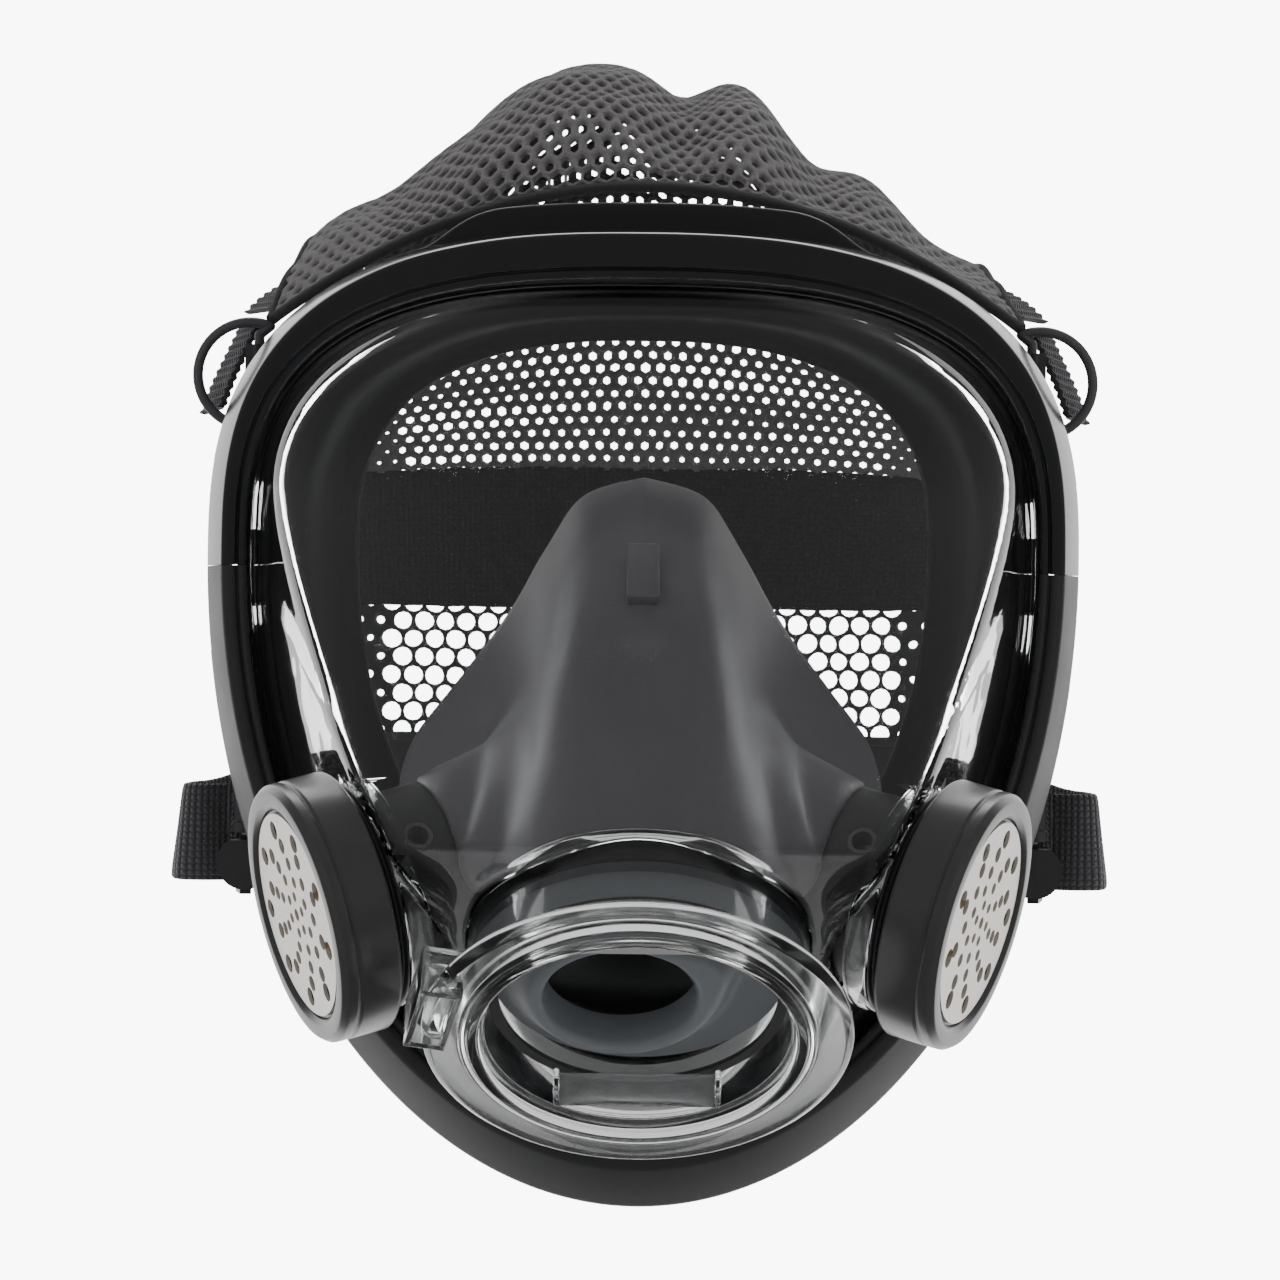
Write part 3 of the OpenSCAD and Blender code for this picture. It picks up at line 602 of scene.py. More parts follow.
def make_materials(look):
    """Builds every finish of the respirator from the three shared groups and the user's colours."""
    moulded, woven, yarn = moulded_group(), woven_group(), yarn_group()
    cloth, black = tuple(look.cloth_colour), tuple(look.rubber_colour)

    def rubber(name, colour, rough, scale=2200, depth=0.00003, cloud=0.25, **more):
        return with_group(name, moulded, {"Color": (*colour, 1), "Roughness": rough, "Grain Scale": scale,
                                          "Grain Depth": depth, "Cloud": cloud}, **more)

    clear_material("Lens Clear", look.lens_colour, 0.004, 0.02)
    clear_material("Port Clear", look.port_colour, 0.05, 0.1)
    rubber("Bezel Gloss", look.bezel_colour, 0.16, 1800, 0.000008, 0.1, Coat_Weight=0.25, Coat_Roughness=0.08)
    rubber("Bezel Satin", look.bezel_lower_colour, 0.42, 3200, 0.00003, 0.2)
    rubber("Seal Rubber", black, 0.42, 2600, 0.00003, 0.25)
    rubber("Cup Rubber", look.cup_colour, 0.5, 4200, 0.00006, 0.22)
    rubber("Adapter Plastic", look.adapter_colour, 0.45, 3000, 0.00002, 0.15)
    rubber("Duct Plastic", (0.014, 0.014, 0.015), 0.4, 2400, 0.00003, 0.25)
    rubber("Pod Plastic", (0.009, 0.009, 0.01), 0.3, 2400, 0.00002, 0.25)
    # the cap's plastic is lighter than its own dark grey, to stand in for the satin highlight on its ring:
    # painted sheen
    rubber("Cap Plastic Painted Sheen", (0.022, 0.021, 0.021), 0.34, 2000, 0.00001, 0.2, Coat_Weight=0.2, Coat_Roughness=0.2)
    rubber("Gasket Rubber", (0.02, 0.02, 0.02), 0.6)
    rubber("Valve Plastic", (0.05, 0.05, 0.055), 0.45)
    rubber("Valve Rubber", (0.25, 0.14, 0.06), 0.5)
    rubber("Ring Enamel", (0.035, 0.035, 0.038), 0.38, 1500, 0.00002, 0.3)
    rubber("Buckle Plastic", (0.02, 0.02, 0.022), 0.34)
    rubber("Grille Metal", look.grille_colour, 0.38, 1600, 0.00001, 0.18, Metallic=0.55)
    rubber("Screw Steel", (0.45, 0.45, 0.46), 0.3, 900, 0.00001, 0.2, Metallic=1.0)
    rubber("Diaphragm Film", (0.35, 0.24, 0.09), 0.3)
    for name, colour, threads, depth, more in (
            ("Strap Webbing", cloth, 2200.0, 0.0006, {"Sheen_Weight": 0.25}),
            ("Strap Knit", cloth, 2800.0, 0.0005, {"Sheen_Weight": 0.2}),
            ("Band Cloth", (0.006, 0.006, 0.0065), 2400.0, 0.0003, {})):
        with_group(name, woven, {"Color": (*colour, 1), "Threads": threads, "Depth": depth}, **more)
    with_group("Net Yarn", yarn, {"Color": (*look.net_colour, 1), "Twist": 1700.0}, Sheen_Weight=0.3)
    with_group("Back Yarn", yarn, {"Color": (0.01, 0.01, 0.011, 1), "Twist": 1900.0}, Sheen_Weight=0.1)


def dress(node, material):
    """A CAD node keeps its shape and takes a finished material."""
    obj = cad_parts[node]
    obj.data.materials.clear()
    obj.data.materials.append(MATERIALS[material])


class RespiratorLook(bpy.types.PropertyGroup):
    """Sizes and colours that a user would change"""
    lens_wall: FloatProperty(name="Lens wall", description="Thickness of the lens", default=0.0026,
                             unit="LENGTH")
    net_pitch: FloatProperty(name="Net pitch", description="Distance between the net's holes", default=0.0036,
                             unit="LENGTH")
    net_hole: FloatProperty(name="Net hole", description="Radius of the net's holes", default=0.00088,
                            unit="LENGTH")
    rim_steps: IntProperty(name="Rim steps", description="Points round the frame", default=288, min=72)
    lens_colour: FloatVectorProperty(name="Lens", description="Tint of the lens", subtype="COLOR",
                                     default=(0.97, 0.98, 0.98))
    port_colour: FloatVectorProperty(name="Port", description="Tint of the regulator port", subtype="COLOR",
                                     default=(0.93, 0.94, 0.94))
    bezel_colour: FloatVectorProperty(name="Upper frame", description="Gloss upper frame", subtype="COLOR",
                                      default=(0.004, 0.0042, 0.005))
    bezel_lower_colour: FloatVectorProperty(name="Lower frame", description="Satin lower frame",
                                            subtype="COLOR", default=(0.011, 0.011, 0.012))
    rubber_colour: FloatVectorProperty(name="Seal", description="Face seal rubber", subtype="COLOR",
                                       default=(0.0045, 0.0045, 0.005))
    cup_colour: FloatVectorProperty(name="Nose cup", description="Nose cup rubber", subtype="COLOR",
                                    default=(0.05, 0.048, 0.053))
    adapter_colour: FloatVectorProperty(name="Adapter", description="Plate inside the port", subtype="COLOR",
                                        default=(0.1, 0.11, 0.12))
    grille_colour: FloatVectorProperty(name="Grille", description="Perforated speech discs", subtype="COLOR",
                                       default=(0.6, 0.57, 0.53))
    cloth_colour: FloatVectorProperty(name="Straps", description="Strap cloth", subtype="COLOR",
                                      default=(0.02, 0.02, 0.023))
    net_colour: FloatVectorProperty(name="Head net", description="Knitted head net", subtype="COLOR",
                                    default=(0.06, 0.055, 0.056))


class RESPIRATOR_OT_lens(bpy.types.Operator):
    """Build the clear lens with its two round openings"""
    bl_idname = "respirator.lens"
    bl_label = "Lens"

    def execute(self, context):
        look = context.scene.respirator
        n, m = look.rim_steps, 60
        t = np.linspace(0, 2 * np.pi, n, endpoint=False)[:, None] * np.ones((1, m))
        w = (np.linspace(0, 1, m) ** 1.2)[None, :] * np.ones((n, 1))
        a = t[:, 0]
        lip = np.stack([rim(a, flare(a) + 3.2, LENS_AT), rim(a, lens_edge(a) - 0.9, LENS_AT)], 1)
        grid = np.concatenate([lip, lens_front(t, w)], 1)
        points, faces = grid.reshape(-1, 3), grid_faces(n, m + 2, True, False)
        for side, _ in SIDES:
            points, faces = open_round_holes(points, faces, side, DUCT_R + 1.5)
        points, faces = drop_loose(points, faces)
        lens = make_piece("lens_shell", points, faces, MATERIALS["Lens Clear"], closed=False)
        add_thickness(lens, look.lens_wall / MM)
        lens.visible_shadow = False
        settle(lens, "mask", "lens", "lens")
        for side, word in SIDES:
            profile = [(20.4, -0.4), (24.0, -0.4), (24.0, -5.6), (20.4, -6.2)]
            seat = lathe_rings(profile, pod_basis(side), 120, 0.7)
            settle(loop_piece("lens_seat_" + word, seat, MATERIALS["Lens Clear"]), "mask", "lens")
        return {"FINISHED"}


def outward(obj):
    """Mean of the faces' forward direction: positive when they face the front."""
    normals = np.empty(len(obj.data.polygons) * 3, np.float32)
    obj.data.polygons.foreach_get("normal", normals)
    return -normals.reshape(-1, 3)[:, 1].mean()


class RESPIRATOR_OT_port(bpy.types.Operator):
    """Build the clear regulator port, its key flats, latch stop and the plate behind it"""
    bl_idname = "respirator.port"
    bl_label = "Regulator port"

    def execute(self, context):
        clear = MATERIALS["Port Clear"]
        profile = [(BORE_R, -PORT_LEN), (NECK_R, -PORT_LEN), (NECK_R, -2.5), (FLANGE_R, -2.5),
                   (FLANGE_R, -1.2), (FLANGE_R - 1.7, 0), (36.2, 0), (35.9, 0.5), (35.3, 0.5), (35.0, 0),
                   (34.6, 0.1), (34.3, 1.0), (32.6, 1.0), (32.0, 0.3), (31.6, -2.0), (BORE_R, -2.4)]
        port = loop_piece("port_body", lathe_rings(profile, port_basis(), 216, 0.35, 3), clear)
        settle(port, "mask", "port", "regulator_port")
        o, x, y, n = port_basis()
        half, inside, count = math.acos(KEY_HALF / BORE_R), BORE_R * 0.998, 40
        for sign, word in ((1, "upper"), (-1, "lower")):
            a = np.linspace(-half, half, count)
            arc = np.stack([inside * np.sin(a), sign * inside * np.cos(a)], -1)
            chord = np.stack([inside * np.sin(a[::-1]), np.full(count, sign * KEY_HALF)], -1)
            outline = np.concatenate([arc, chord])
            rings = np.stack([o + outline[:, :1] * x + outline[:, 1:] * y - d * n for d in (2.5, 10.7)])
            flat = loop_piece("port_key_" + word, rings, clear, closed=False, sharp=30)
            settle(flat, "mask", "port")
        for sign in (1, -1):
            post = box_piece(f"port_post_{'a' if sign > 0 else 'b'}", port_basis(),
                             (sign * 16.6 - 0.6, -26.6, -8), (sign * 16.6 + 0.6, -20.4, -2.6), clear)
            settle(post, "mask", "port")
        # hollow stop on the flange's edge for the regulator's release button
        turn = math.radians(167)
        bx, by = math.cos(turn) * x + math.sin(turn) * y, -math.sin(turn) * x + math.cos(turn) * y
        walls = (((37.6, -9.5, -9), (39, 9.5, 2.4)), ((44.6, -9.5, -9), (46, 9.5, 2.4)),
                 ((37.6, -9.5, -9), (46, -8, 2.4)), ((37.6, 8, -9), (46, 9.5, 2.4)),
                 ((37.6, -9.5, -9), (46, 9.5, -7.6)))
        for k, (low, high) in enumerate(walls, 1):
            wall = box_piece(f"latch_wall_{k}", (o, bx, by, n), low, high, clear)
            settle(wall, "mask", "port")
        self.adapter(context)
        dress("port_gasket", "Gasket Rubber")
        dress("nose_cup_sleeve", "Duct Plastic")
        return {"FINISHED"}

    def adapter(self, context):
        """Plate whose surface runs from an offset round mouth out to the bore, raised near the mouth."""
        o, x, y, n = port_basis(ADAPTER_AT)
        a = np.linspace(0, 2 * np.pi, 144, endpoint=False)[:, None]
        s = np.linspace(0, 1, 34)[None, :]
        mid_x, mid_y = -3.6, -3.5
        mouth = np.stack([mid_x + 15.5 * np.cos(a), mid_y + 15.5 * np.sin(a)], -1)
        plate = np.stack([30.4 * np.cos(a), 30.4 * np.sin(a)], -1)
        flat = lerp(mouth, plate, s[..., None])
        away = np.hypot(flat[..., 0] - mid_x, flat[..., 1] - mid_y)
        lobe = 20.5 + 4.5 * bump(np.angle(np.exp(1j * (a - 0.45))), 0.42)
        height = 5.5 * smooth((lobe + 3.5 - away) / 6.5) - 1.4 * bump(s, 0.04)
        top = o + flat[..., :1] * x + flat[..., 1:] * y + height[..., None] * n
        under = o + flat[:, ::-1, :1] * x + flat[:, ::-1, 1:] * y - 2.5 * n
        rings = np.concatenate([top, under], 1)
        body = loop_piece("adapter_plate", rings, MATERIALS["Adapter Plastic"], sharp=50)
        settle(body, "mask", "adapter", "nose_cup_adapter")


def box_piece(name, basis, low, high, material, bevel=0.25):
    """Block between two corners in a basis, with its edges beveled."""
    o, x, y, n = basis
    c = np.array([[i, j, k] for i in (0, 1) for j in (0, 1) for k in (0, 1)], float)
    c = np.array(low, float) + c * (np.array(high, float) - np.array(low, float))
    pts = o + c[:, :1] * x + c[:, 1:2] * y + c[:, 2:] * n
    faces = [[0, 1, 3, 2], [4, 6, 7, 5], [0, 4, 5, 1], [2, 3, 7, 6], [0, 2, 6, 4], [1, 5, 7, 3]]
    obj = make_piece(name, pts, faces, material)
    mod = obj.modifiers.new("Edges", "BEVEL")
    mod.width = bevel * MM
    mod.segments = 2
    return obj


class RESPIRATOR_OT_frame(bpy.types.Operator):
    """Build the two halves of the clamp frame round the lens"""
    bl_idname = "respirator.frame"
    bl_label = "Clamp frame"

    def execute(self, context):
        look = context.scene.respirator
        gap = math.radians(0.03)
        for name, start, end, mat, slot in (
                ("frame_upper", SPLIT_AT + gap, math.pi - SPLIT_AT - gap, "Bezel Gloss", "bezel_gloss"),
                ("frame_lower", math.pi - SPLIT_AT + gap, 2 * math.pi + SPLIT_AT - gap,
                 "Bezel Satin", "bezel_matte")):
            t = np.linspace(start, end, look.rim_steps // 2)
            f, g = flare(t), lip_w(t)
            rolled = np.stack([rim(t, 0, 9), rim(t, 0, 6.5), rim(t, f * 0.96, -4.8), rim(t, f + 1.4, -6),
                               rim(t, f + g - 2.6, -6.0), rim(t, f + g - 2.2, -5.2), rim(t, f + g - 1.6, -6.2),
                               rim(t, f + g - 0.3, -6.2), rim(t, f + g, -5.4), rim(t, f + g, -3.6),
                               rim(t, f + 2.8, -3.4), rim(t, 2.4, 9)], 1)
            piece = loop_piece(name + "_skin", rounded(rolled, 0.9, 4), MATERIALS[mat], closed=False, sharp=60)
            settle(piece, "mask", slot, name)
        dress("frame_screws", "Screw Steel")
        dress("frame_nuts", "Screw Steel")
        return {"FINISHED"}


class RESPIRATOR_OT_seal(bpy.types.Operator):
    """Build the rubber face seal with its lip and outer flange"""
    bl_idname = "respirator.seal"
    bl_label = "Face seal"

    def execute(self, context):
        look = context.scene.respirator
        t = np.linspace(0, 2 * np.pi, look.rim_steps, endpoint=False)
        f, g = flare(t), lip_w(t)
        sine = np.sin(t)
        # outer flange: wider over the forehead, and cut back at the temples for the clamp's fasteners
        e = -0.4 - 5.6 * smooth((sine - 0.92) / 0.06)
        e = e + 9 * smooth((0.16 - np.abs(np.sin(t - SPLIT_AT))) / 0.05)
        r = f + g

        def mid(w, h):
            return lerp(rim(t, r, h), face_point(t, h), w)

        section = np.stack([
            rim(t, f + 3.6, -0.1), rim(t, r + 2, -0.1), mid(0.3, 11), mid(0.5, 17.5), mid(0.75, 16),
            face_point(t, 9.5), face_point(t, 11.5), mid(0.75, 19.5), mid(0.48, 21.5), mid(0.2, 17.5),
            rim(t, np.maximum(e, 3) + 1, 11.8), rim(t, e, 11.6), rim(t, e, SEAL_FOOT),
            rim(t, np.maximum(e, 3.4) + 1.2, SEAL_FOOT)], 1)
        piece = loop_piece("seal_skin", rounded(section, 3.0, 5), MATERIALS["Seal Rubber"])
        settle(piece, "mask", "seal_rubber", "face_seal")
        return {"FINISHED"}


class RESPIRATOR_OT_cup(bpy.types.Operator):
    """Build the soft nose cup with its duct cowls and tab"""
    bl_idname = "respirator.cup"
    bl_label = "Nose cup"

    def execute(self, context):
        n, m = 300, 80
        a = np.linspace(0, 2 * np.pi, n, endpoint=False)[:, None] * np.ones((1, m))
        s = np.linspace(0, 1, m)[None, :] * np.ones((n, 1))
        grid = cup_point(a, s)
        points, faces = grid.reshape(-1, 3), grid_faces(n, m, True, False)
        for side, _ in SIDES:
            points, faces = open_round_holes(points, faces, side, 16.0)
        points, faces = drop_loose(points, faces)
        cup = make_piece("nose_cup_skin", points, faces, MATERIALS["Cup Rubber"], closed=False)
        add_thickness(cup, CUP_WALL)
        settle(cup, "mask", "cup_rubber", "nose_cup")
        # small tab on the ridge
        top, low = cup_point(np.zeros(2), np.array([0.40, 0.52]))
        down, across = unit(low - top), np.array([1.0, 0, 0])
        out = unit(np.cross(across, down))
        out = -out if out[1] > 0 else out
        tab = box_piece("nose_cup_tab", (top, across, down, out), (-3.3, -1, -1.2), (3.3, 12.5, 2.6),
                        MATERIALS["Cup Rubber"], 0.5)
        settle(tab, "mask", "cup_rubber")
        return {"FINISHED"}


class RESPIRATOR_OT_speech(bpy.types.Operator):
    """Build the speech pods: ducts, ribbed bases, caps and their inner parts"""
    bl_idname = "respirator.speech"
    bl_label = "Speech diaphragms"

    def execute(self, context):
        for side, word in SIDES:
            basis = pod_basis(side)
            top, groove = POD_DEPTH, CAP_R - 0.35
            cap = [(24.5, 3), (CAP_R - 0.3, 3), (CAP_R, 3.6), (CAP_R, top - 4.4), (groove, top - 4.1),
                   (groove, top - 3.7), (CAP_R, top - 3.4), (CAP_R - 0.1, top - 1.4), (CAP_R - 1.2, top),
                   (23.4, top), (22.3, top - 0.9), (22.3, top - 1.6), (20.4, top - 1.6), (20.4, top - 3),
                   (24.5, top - 3)]
            piece = loop_piece("cap_" + word, lathe_rings(cap, basis, 180, 0.3, 3), MATERIALS["Cap Plastic Painted Sheen"])
            settle(piece, "mask", "voice_cap", "voice_cap_" + word)
            base = [(15.5, -4), (17.6, -4), (17.6, 0), (24.2, 0), (24.4, 0.6), (23.6, 1.1), (24.4, 1.6),
                    (23.6, 2.2), (24.3, 2.8), (24.3, 9), (22.7, 9), (22.7, 7.2), (15.5, 7.2)]
            piece = loop_piece("base_" + word, lathe_rings(base, basis, 144, 0.25, 3), MATERIALS["Pod Plastic"])
            settle(piece, "mask", "voice_base", "voice_base_" + word)
            for node, material in (("duct", "Duct Plastic"), ("voice_grille", "Grille Metal"),
                                   ("voice_diaphragm", "Diaphragm Film"), ("voice_gasket", "Gasket Rubber"),
                                   ("inhale_seat", "Valve Plastic"), ("inhale_flap", "Valve Rubber")):
                dress(f"{node}_{word}", material)
        return {"FINISHED"}


def net_cells(v0, v1, pitch, hole, thick, open_half, sides=6):
    """Honeycomb of round holes over the net between two stations. Each cell is a ring that runs from its
    six-sided edge, half the thickness up, in to its hole and back under, half the thickness down. Holes within
    open_half of the middle are wide, the rest nearly closed. Returns points in millimetres and faces."""
    row = math.cos(math.pi / 6)
    line = np.linspace(v0, v1, 400)
    path = net_surface(np.zeros_like(line), line)
    run = np.concatenate([[0], np.cumsum(np.linalg.norm(np.diff(path, axis=0), axis=1))])
    half = through(NET_RUN, line)[:, 2].max()
    rows, cols = int(run[-1] / (pitch * ROW_SHARE)) + 1, int(half / pitch) + 1
    q = (np.arange(rows + 1) * pitch * ROW_SHARE)[:, None]
    p = (np.arange(-cols, cols + 1) * pitch)[None, :] + (np.arange(rows + 1) % 2 * pitch / 2)[:, None]
    centre = np.stack([p, np.broadcast_to(q, p.shape)], -1).reshape(-1, 2)
    width = through(NET_RUN, np.interp(centre[:, 1], run, line))[:, 2]
    keep = (np.abs(centre[:, 0]) < width + 0.4 * pitch) & (centre[:, 1] < run[-1] + 0.4 * pitch)
    centre = centre[keep]
    angle = np.radians(np.arange(sides) * 360 / sides + 30)
    # a twelve-sided ring has a point between each two corners of its hexagon
    corner = np.arange(sides) % (sides // 6) == 0
    reach = pitch / 2 / np.where(corner, row, 1.0)
    spoke = np.stack([np.cos(angle), np.sin(angle)], -1)
    across, along = centre[:, 0], centre[:, 1]
    uneven = np.sin(across * 1.7 + 3 * np.sin(along * 0.13)) * np.cos(along * 1.3)
    wobble = 1 + (0.3 if sides == 6 else 0.06) * uneven
    front = 1 + 0.7 * bump(along - 2, 3.5) * (v0 == 0)
    front = front * np.where(np.abs(across) > open_half, 0.4, 1.0)
    # share of the way from cell edge to hole, and height as a share of the thickness
    section = ((0, 0.5), (0.55, 0.42), (1, 0), (0.55, -0.42), (0, -0.5))
    holes = (hole * wobble * front)[:, None]
    radius = np.stack([lerp(reach, holes, k) for k, _ in section], -1)
    flat = centre[:, None, None, :] + radius[..., None] * spoke[None, :, None, :]
    v = np.interp(flat[..., 1], run, line)
    u = np.clip(flat[..., 0] / through(NET_RUN, v)[..., 2], -1, 1)
    lift = np.broadcast_to(np.array([k for _, k in section]) * thick, v.shape)
    points = net_surface(u, v) + net_normal(u, v) * lift[..., None]
    one = grid_faces(sides, len(section), True, False)
    faces = one[None] + (np.arange(len(centre)) * sides * len(section))[:, None, None]
    return points.reshape(-1, 3), faces.reshape(-1, 4)


def edge_cord(name, path, radius, material):
    """Round binding carried along a path of points: circle in the plane across each step."""
    step = unit(np.gradient(path, axis=0))
    side = unit(np.cross(step, np.array([0.13, 0.31, 0.94])))
    up = np.cross(side, step)
    a = np.linspace(0, 2 * np.pi, 12, endpoint=False)
    circle = np.cos(a)[None, :, None] * side[:, None] + np.sin(a)[None, :, None] * up[:, None]
    return loop_piece(name, path[:, None] + radius * circle, material, closed=False)


class RESPIRATOR_OT_net(bpy.types.Operator):
    """Knit the head net: open crown, woven band and the wide mesh at the nape"""
    bl_idname = "respirator.net"
    bl_label = "Head net"

    def execute(self, context):
        look = context.scene.respirator
        pitch, hole = look.net_pitch / MM, look.net_hole / MM
        pts, faces = net_cells(0.0, CROWN_END, pitch, hole, 2.0, 58)
        crown = make_piece("net_crown_knit", pts, faces, MATERIALS["Net Yarn"], closed=False, merge=0.03)
        settle(crown, "mask", "net", "net_crown")
        pts, faces = net_cells(NAPE_START, 1.0, 5.0, 2.1, 1.4, 61, 12)
        nape = make_piece("net_back_knit", pts, faces, MATERIALS["Back Yarn"], closed=False, merge=0.03)
        settle(nape, "mask", "net_back", "net_back")
        band = self.band()
        settle(band, "mask", "net_band", "net_band")
        self.bindings()
        self.declare(crown, nape, band)
        return {"FINISHED"}

    def band(self):
        """Tape with a soft ripple: the net's surface thickened both ways, closed at its ends."""
        v = np.linspace(BAND_START, BAND_END, 40)[:, None]
        count = 150
        u = np.concatenate([np.linspace(-1, 1, count), np.linspace(1, -1, count)])[None, :]
        u, v = np.broadcast_arrays(u, v)
        face = np.repeat([1.0, -1.0], count)[None, :]
        ripple = 0.35 * np.sin(u * 60 + 4 * np.sin(v * 40))
        pts = net_surface(u, v) + net_normal(u, v) * (face + ripple)[..., None]
        uv = np.stack([u * 0.071, v * 0.25], -1)
        return loop_piece("net_band_tape", pts, MATERIALS["Band Cloth"], closed=False, uv=uv)

    def bindings(self):
        """Bound edges along the forehead, the nape and both sides."""
        w = np.linspace(-1, 1, 140)
        one = np.ones_like(w)
        for name, u, v, r in (("front", w, 0 * one, 1.3), ("nape", w, one, 1.3),
                              ("side_left", one, (w + 1) / 2, 1.5), ("side_right", -one, (w + 1) / 2, 1.5)):
            cord = edge_cord("net_edge_" + name, net_surface(u, v), r, MATERIALS["Back Yarn"])
            settle(cord, "mask", "net")
        # tape hanging from the nape's edge, its section a flat oval
        u = np.linspace(-1, 1, 160)
        top = net_surface(u, np.ones_like(u))
        turn = np.linspace(0, 2 * np.pi, 24, endpoint=False)
        c = np.cos(turn)
        high, deep = 4.7 * np.sign(c) * np.abs(c) ** 0.4, 0.9 * np.sin(turn)
        rings = top[:, None] + np.stack([0 * deep, deep, high - 4.2], -1)[None]
        settle(loop_piece("net_hem", rings, MATERIALS["Back Yarn"], closed=False), "mask", "net")

    def declare(self, crown, nape, band):
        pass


# strap stations on the wearer's left: place, width direction, thickness direction
STRAP_THICK = 1.8
UPPER_RUN = (
    ((70, 66, 84), (0.5, 0.84, 0.1), (0.5, -0.25, 0.83)),
    ((78, 61, 81), (0.5, 0.85, 0), (0.6, -0.3, 0.74)),
    ((84, 59, 77.5), (0.5, 0.86, 0), (0.72, -0.36, 0.6)),
    ((88.2, 58.6, 73.6), (0.5, 0.86, 0), (0.84, -0.4, 0.36)))
UPPER_END = (
    ((90.2, 59.35, 70.2), (0.5, 0.86, -0.1), (0.86, -0.45, 0.25)),
    ((93, 60, 64.5), (0.5, 0.86, -0.1), (0.87, -0.45, 0.2)),
    ((96, 60, 58), (0.5, 0.86, -0.1), (0.87, -0.45, 0.2)),
    ((98.5, 59.5, 51), (0.5, 0.86, -0.1), (0.87, -0.45, 0.2)))
LOWER_RUN = (
    ((105.6, 71.5, -45), (-0.13, 0, 1), (1, 0.1, 0.13)),
    ((105, 79, -45), (-0.13, 0, 1), (0.9, 0.4, 0.12)),
    ((98, 89.5, -44), (-0.05, 0.03, 1), (0.65, 0.75, 0)),
    ((84, 100, -38), (0, 0.1, 1), (0.5, 0.85, -0.1)),
    ((71, 106.5, -26), (0, 0.15, 1), (0.45, 0.9, -0.13)))
LOWER_END = (
    ((94, 63, -45), (0, 0, 1), (0.35, -0.93, 0)),
    ((99.5, 61, -45), (0, 0, 1), (0.35, -0.93, 0)),
    ((104.3, 62.6, -45), (-0.08, 0, 1), (0.9, -0.4, 0.08)),
    ((105.7, 69.8, -45), (-0.13, 0, 1), (1, 0.1, 0.13)))


def strap(name, stations, side, width, thick, material, gather):
    """Flat strap carried along its stations: a squared oval section, with gathers rippling along its length.
    Returns it with its length in metres."""
    st = np.array(stations, float)
    w = np.linspace(0, 1, 90)
    place, across, up = (through(st[:, k], w) for k in range(3))
    across, up = unit(across), unit(up)
    run = np.concatenate([[0], np.cumsum(np.linalg.norm(np.diff(place, axis=0), axis=1))])
    place = place + up * (gather * np.sin(run * 3.1))[:, None]
    a = np.linspace(0, 2 * np.pi, 32, endpoint=False)
    c, s = np.cos(a), np.sin(a)
    wide = np.sign(c) * np.abs(c) ** 0.25 * width / 2
    high = np.sign(s) * np.abs(s) ** 0.5 * thick / 2
    rings = place[:, None] + wide[None, :, None] * across[:, None] + high[None, :, None] * up[:, None]
    rings = rings * np.array([side, 1, 1])
    uv = np.stack(np.broadcast_arrays(wide[None, :] * MM, run[:, None] * MM), -1)
    obj = loop_piece(name, rings, material, closed=False, uv=uv)
    return obj, run[-1] * MM


class RESPIRATOR_OT_straps(bpy.types.Operator):
    """Make the four straps with their tails, and finish the lugs, rings and buckles"""
    bl_idname = "respirator.straps"
    bl_label = "Straps and buckles"

    def execute(self, context):
        knit, web = MATERIALS["Strap Knit"], MATERIALS["Strap Webbing"]
        for side, word in SIDES:
            ring, buckle = "strap_ring_" + word, "lower_buckle_" + word
            # piece, its stations, width in millimetres, cloth, gathers, body, slot and CAD node
            for name, stations, width, material, gather, body, slot, node in (
                    ("strap_upper_", UPPER_RUN, 13, knit, 0.3, "mask", "strap", "upper_strap_"),
                    ("tail_upper_", UPPER_END, 11, knit, 0.25, ring, "strap", "upper_tail_"),
                    ("strap_lower_", LOWER_RUN, 22, web, 0.0, "mask", "webbing", "lower_strap_"),
                    ("tail_lower_", LOWER_END, 22, web, 0.0, buckle, "webbing", "lower_tail_")):
                obj, length = strap(name + word, stations, side, width, STRAP_THICK, material, gather)
                settle(obj, body, slot, node + word)
            for node, material in (("upper_lug_", "Buckle Plastic"), ("lower_lug_", "Buckle Plastic"),
                                   ("strap_ring_", "Ring Enamel"), ("lower_buckle_", "Buckle Plastic")):
                dress(node + word, material)
        dress("lower_pins", "Screw Steel")
        return {"FINISHED"}


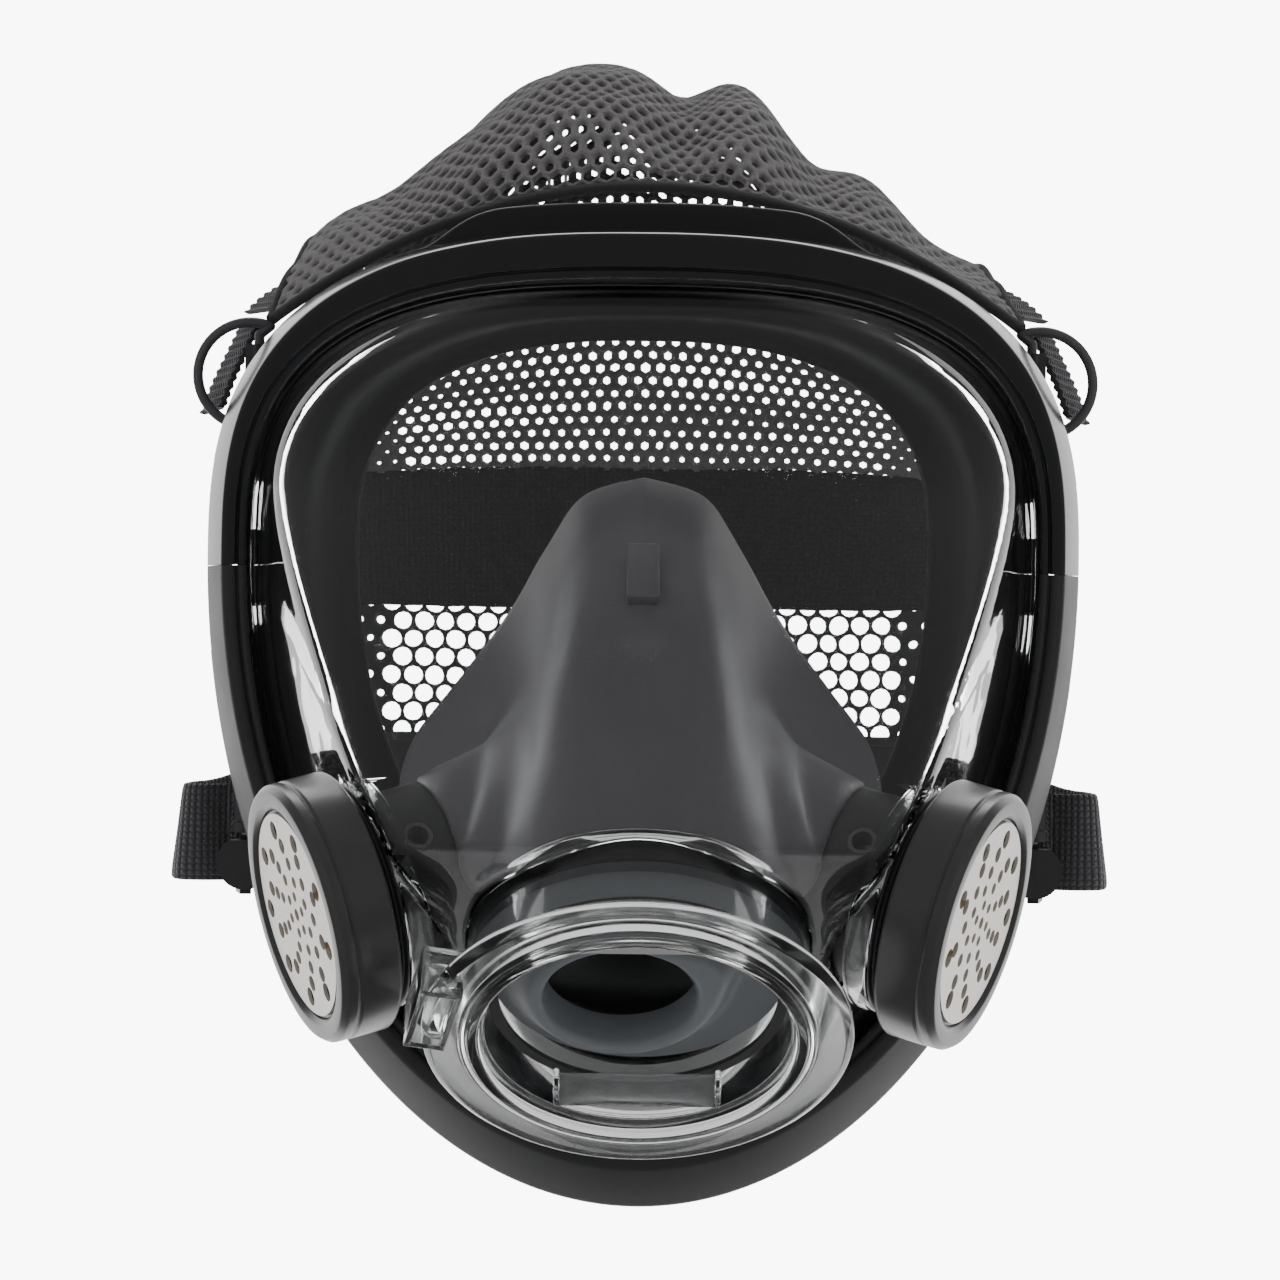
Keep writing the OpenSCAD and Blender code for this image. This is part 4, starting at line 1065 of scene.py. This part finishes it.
class RESPIRATOR_OT_stage(bpy.types.Operator):
    """Set up the pale floor, soft studio light and the camera"""
    bl_idname = "respirator.stage"
    bl_label = "Stage"

    def execute(self, context):
        self.floor()
        self.backdrop()
        self.world(context)
        self.lights()
        self.camera(context)
        return {"FINISHED"}

    def floor(self):
        """Wide pale floor, as bright as the backdrop where the camera sees it."""
        size, level = 14000.0, -450
        pts = np.array([[-size, -size, level], [size, -size, level], [size, size, level], [-size, size, level]])
        mat, nodes, links, shader = start_material("Pale Floor")
        shader.inputs["Base Color"].default_value = (0.85, 0.85, 0.85, 1)
        shader.inputs["Roughness"].default_value = 0.9
        shader.inputs["Emission Color"].default_value = (1, 1, 1, 1)
        path = nodes.new("ShaderNodeLightPath")
        links.new(math_node(nodes, links, "MULTIPLY", path.outputs["Is Camera Ray"], BACKGROUND),
                  shader.inputs["Emission Strength"])
        floor = make_piece("floor", pts, np.array([[0, 1, 2, 3]]), mat, closed=False)
        floor.visible_glossy = False

    def backdrop(self):
        """White sheet behind the object: bright directly and through clear parts, softer in reflections."""
        half, far = 2400.0, 1500.0
        pts = np.array([[-half, far, -half], [half, far, -half], [half, far, half], [-half, far, half]])
        mat, nodes, links, shader = start_material("Backdrop")
        for node in list(nodes):
            if node.type == "BSDF_PRINCIPLED":
                nodes.remove(node)
        glow, clear, mix = (nodes.new("ShaderNode" + k) for k in ("Emission", "BsdfTransparent", "MixShader"))
        path = nodes.new("ShaderNodeLightPath")
        camera, through_clear = path.outputs["Is Camera Ray"], path.outputs["Is Transmission Ray"]
        direct = math_node(nodes, links, "MAXIMUM", camera, through_clear)
        seen = math_node(nodes, links, "MAXIMUM", direct, path.outputs["Is Glossy Ray"])
        strength = math_node(nodes, links, "MULTIPLY", direct, BACKGROUND - MIRRORED)
        links.new(math_node(nodes, links, "ADD", strength, MIRRORED), glow.inputs["Strength"])
        links.new(seen, mix.inputs[0])
        links.new(clear.outputs[0], mix.inputs[1])
        links.new(glow.outputs[0], mix.inputs[2])
        links.new(mix.outputs[0], nodes["Material Output"].inputs["Surface"])
        sheet = make_piece("backdrop", pts, np.array([[0, 1, 2, 3]]), mat, closed=False)

    def world(self, context):
        """Even white light from all round, brighter where the camera sees it."""
        world = bpy.data.worlds.new("Studio")
        world.use_nodes = True
        context.scene.world = world
        nodes, links = world.node_tree.nodes, world.node_tree.links
        back = nodes["Background"]
        back.inputs["Color"].default_value = (1, 1, 1, 1)
        path = nodes.new("ShaderNodeLightPath")
        seen = math_node(nodes, links, "MULTIPLY", path.outputs["Is Camera Ray"], BACKGROUND - AMBIENT)
        links.new(math_node(nodes, links, "ADD", seen, AMBIENT), back.inputs["Strength"])

    def lights(self):
        """Soft rectangles: place, the height they aim at, size, power, and whether glossy and clear parts
        show them."""
        for name, place, aim, size, power, mirrored in (
                ("Front_Left", (-1.0, -1.3, 0.35), 0, (0.9, 1.0), 12, False),
                ("Front_Right", (1.1, -1.2, 0.3), 0, (0.9, 1.0), 11, False),
                ("Rim_Left", (1.5, -0.35, 0.2), 0, (0.4, 1.0), 8, False),
                ("Rim_Right", (-1.5, -0.35, 0.2), 0, (0.4, 1.0), 8, False),
                ("Top", (0.0, 0.75, 1.3), 0, (1.4, 0.5), 12, True),
                ("Crown", (0.0, -0.5, 1.6), 0.1, (1.2, 0.7), 8, False),
                ("Side_Left", (1.0, 1.15, -0.05), -0.02, (0.5, 1.2), 10, False),
                ("Side_Right", (-1.0, 1.15, -0.05), -0.02, (0.5, 1.2), 10, False)):
            data = bpy.data.lights.new(name, "AREA")
            data.shape = "RECTANGLE"
            data.size, data.size_y = size
            data.energy = power
            lamp = bpy.data.objects.new(name, data)
            bpy.context.scene.collection.objects.link(lamp)
            lamp.visible_glossy = lamp.visible_transmission = mirrored
            lamp.location = place
            lamp.rotation_euler = direction_euler(np.array([0, 0, aim], float) - np.array(place, float))

    def camera(self, context):
        """Camera on the front, level with the origin, turned a little about its own axis."""
        data = bpy.data.cameras.new("Camera")
        data.lens, data.sensor_width = 118.46, 36.0
        camera = bpy.data.objects.new("Camera", data)
        context.scene.collection.objects.link(camera)
        camera.location = (-0.0005, -0.9, 0)
        camera.rotation_euler = (math.radians(90), math.radians(-0.7), 0)
        context.scene.camera = camera


def direction_euler(v):
    """Turn that points an object's -Z axis along v."""
    return Vector(v).to_track_quat("-Z", "Y").to_euler()


OPERATORS = (RESPIRATOR_OT_stage, RESPIRATOR_OT_lens, RESPIRATOR_OT_port, RESPIRATOR_OT_frame,
             RESPIRATOR_OT_seal, RESPIRATOR_OT_cup, RESPIRATOR_OT_speech, RESPIRATOR_OT_net,
             RESPIRATOR_OT_straps)


class RESPIRATOR_PT_panel(bpy.types.Panel):
    """Lists the respirator's settings and the steps that build it"""
    bl_idname = "RESPIRATOR_PT_panel"
    bl_label = "Full Face Respirator"
    bl_space_type = "VIEW_3D"
    bl_region_type = "UI"
    bl_category = "Respirator"

    def draw(self, context):
        for name in RespiratorLook.__annotations__:
            self.layout.prop(context.scene.respirator, name)
        for kind in OPERATORS:
            self.layout.operator(kind.bl_idname)


CLASSES = (RespiratorLook, *OPERATORS, RESPIRATOR_PT_panel)


def register():
    for kind in CLASSES:
        bpy.utils.register_class(kind)
    bpy.types.Scene.respirator = PointerProperty(type=RespiratorLook)


def unregister():
    del bpy.types.Scene.respirator
    for kind in reversed(CLASSES):
        bpy.utils.unregister_class(kind)


def main():
    """Builds the respirator."""
    register()
    make_materials(bpy.context.scene.respirator)
    for kind in OPERATORS:
        area, name = kind.bl_idname.split(".")
        getattr(getattr(bpy.ops, area), name)()
    bpy.context.view_layer.update()


if __name__ == "__main__":
    main()
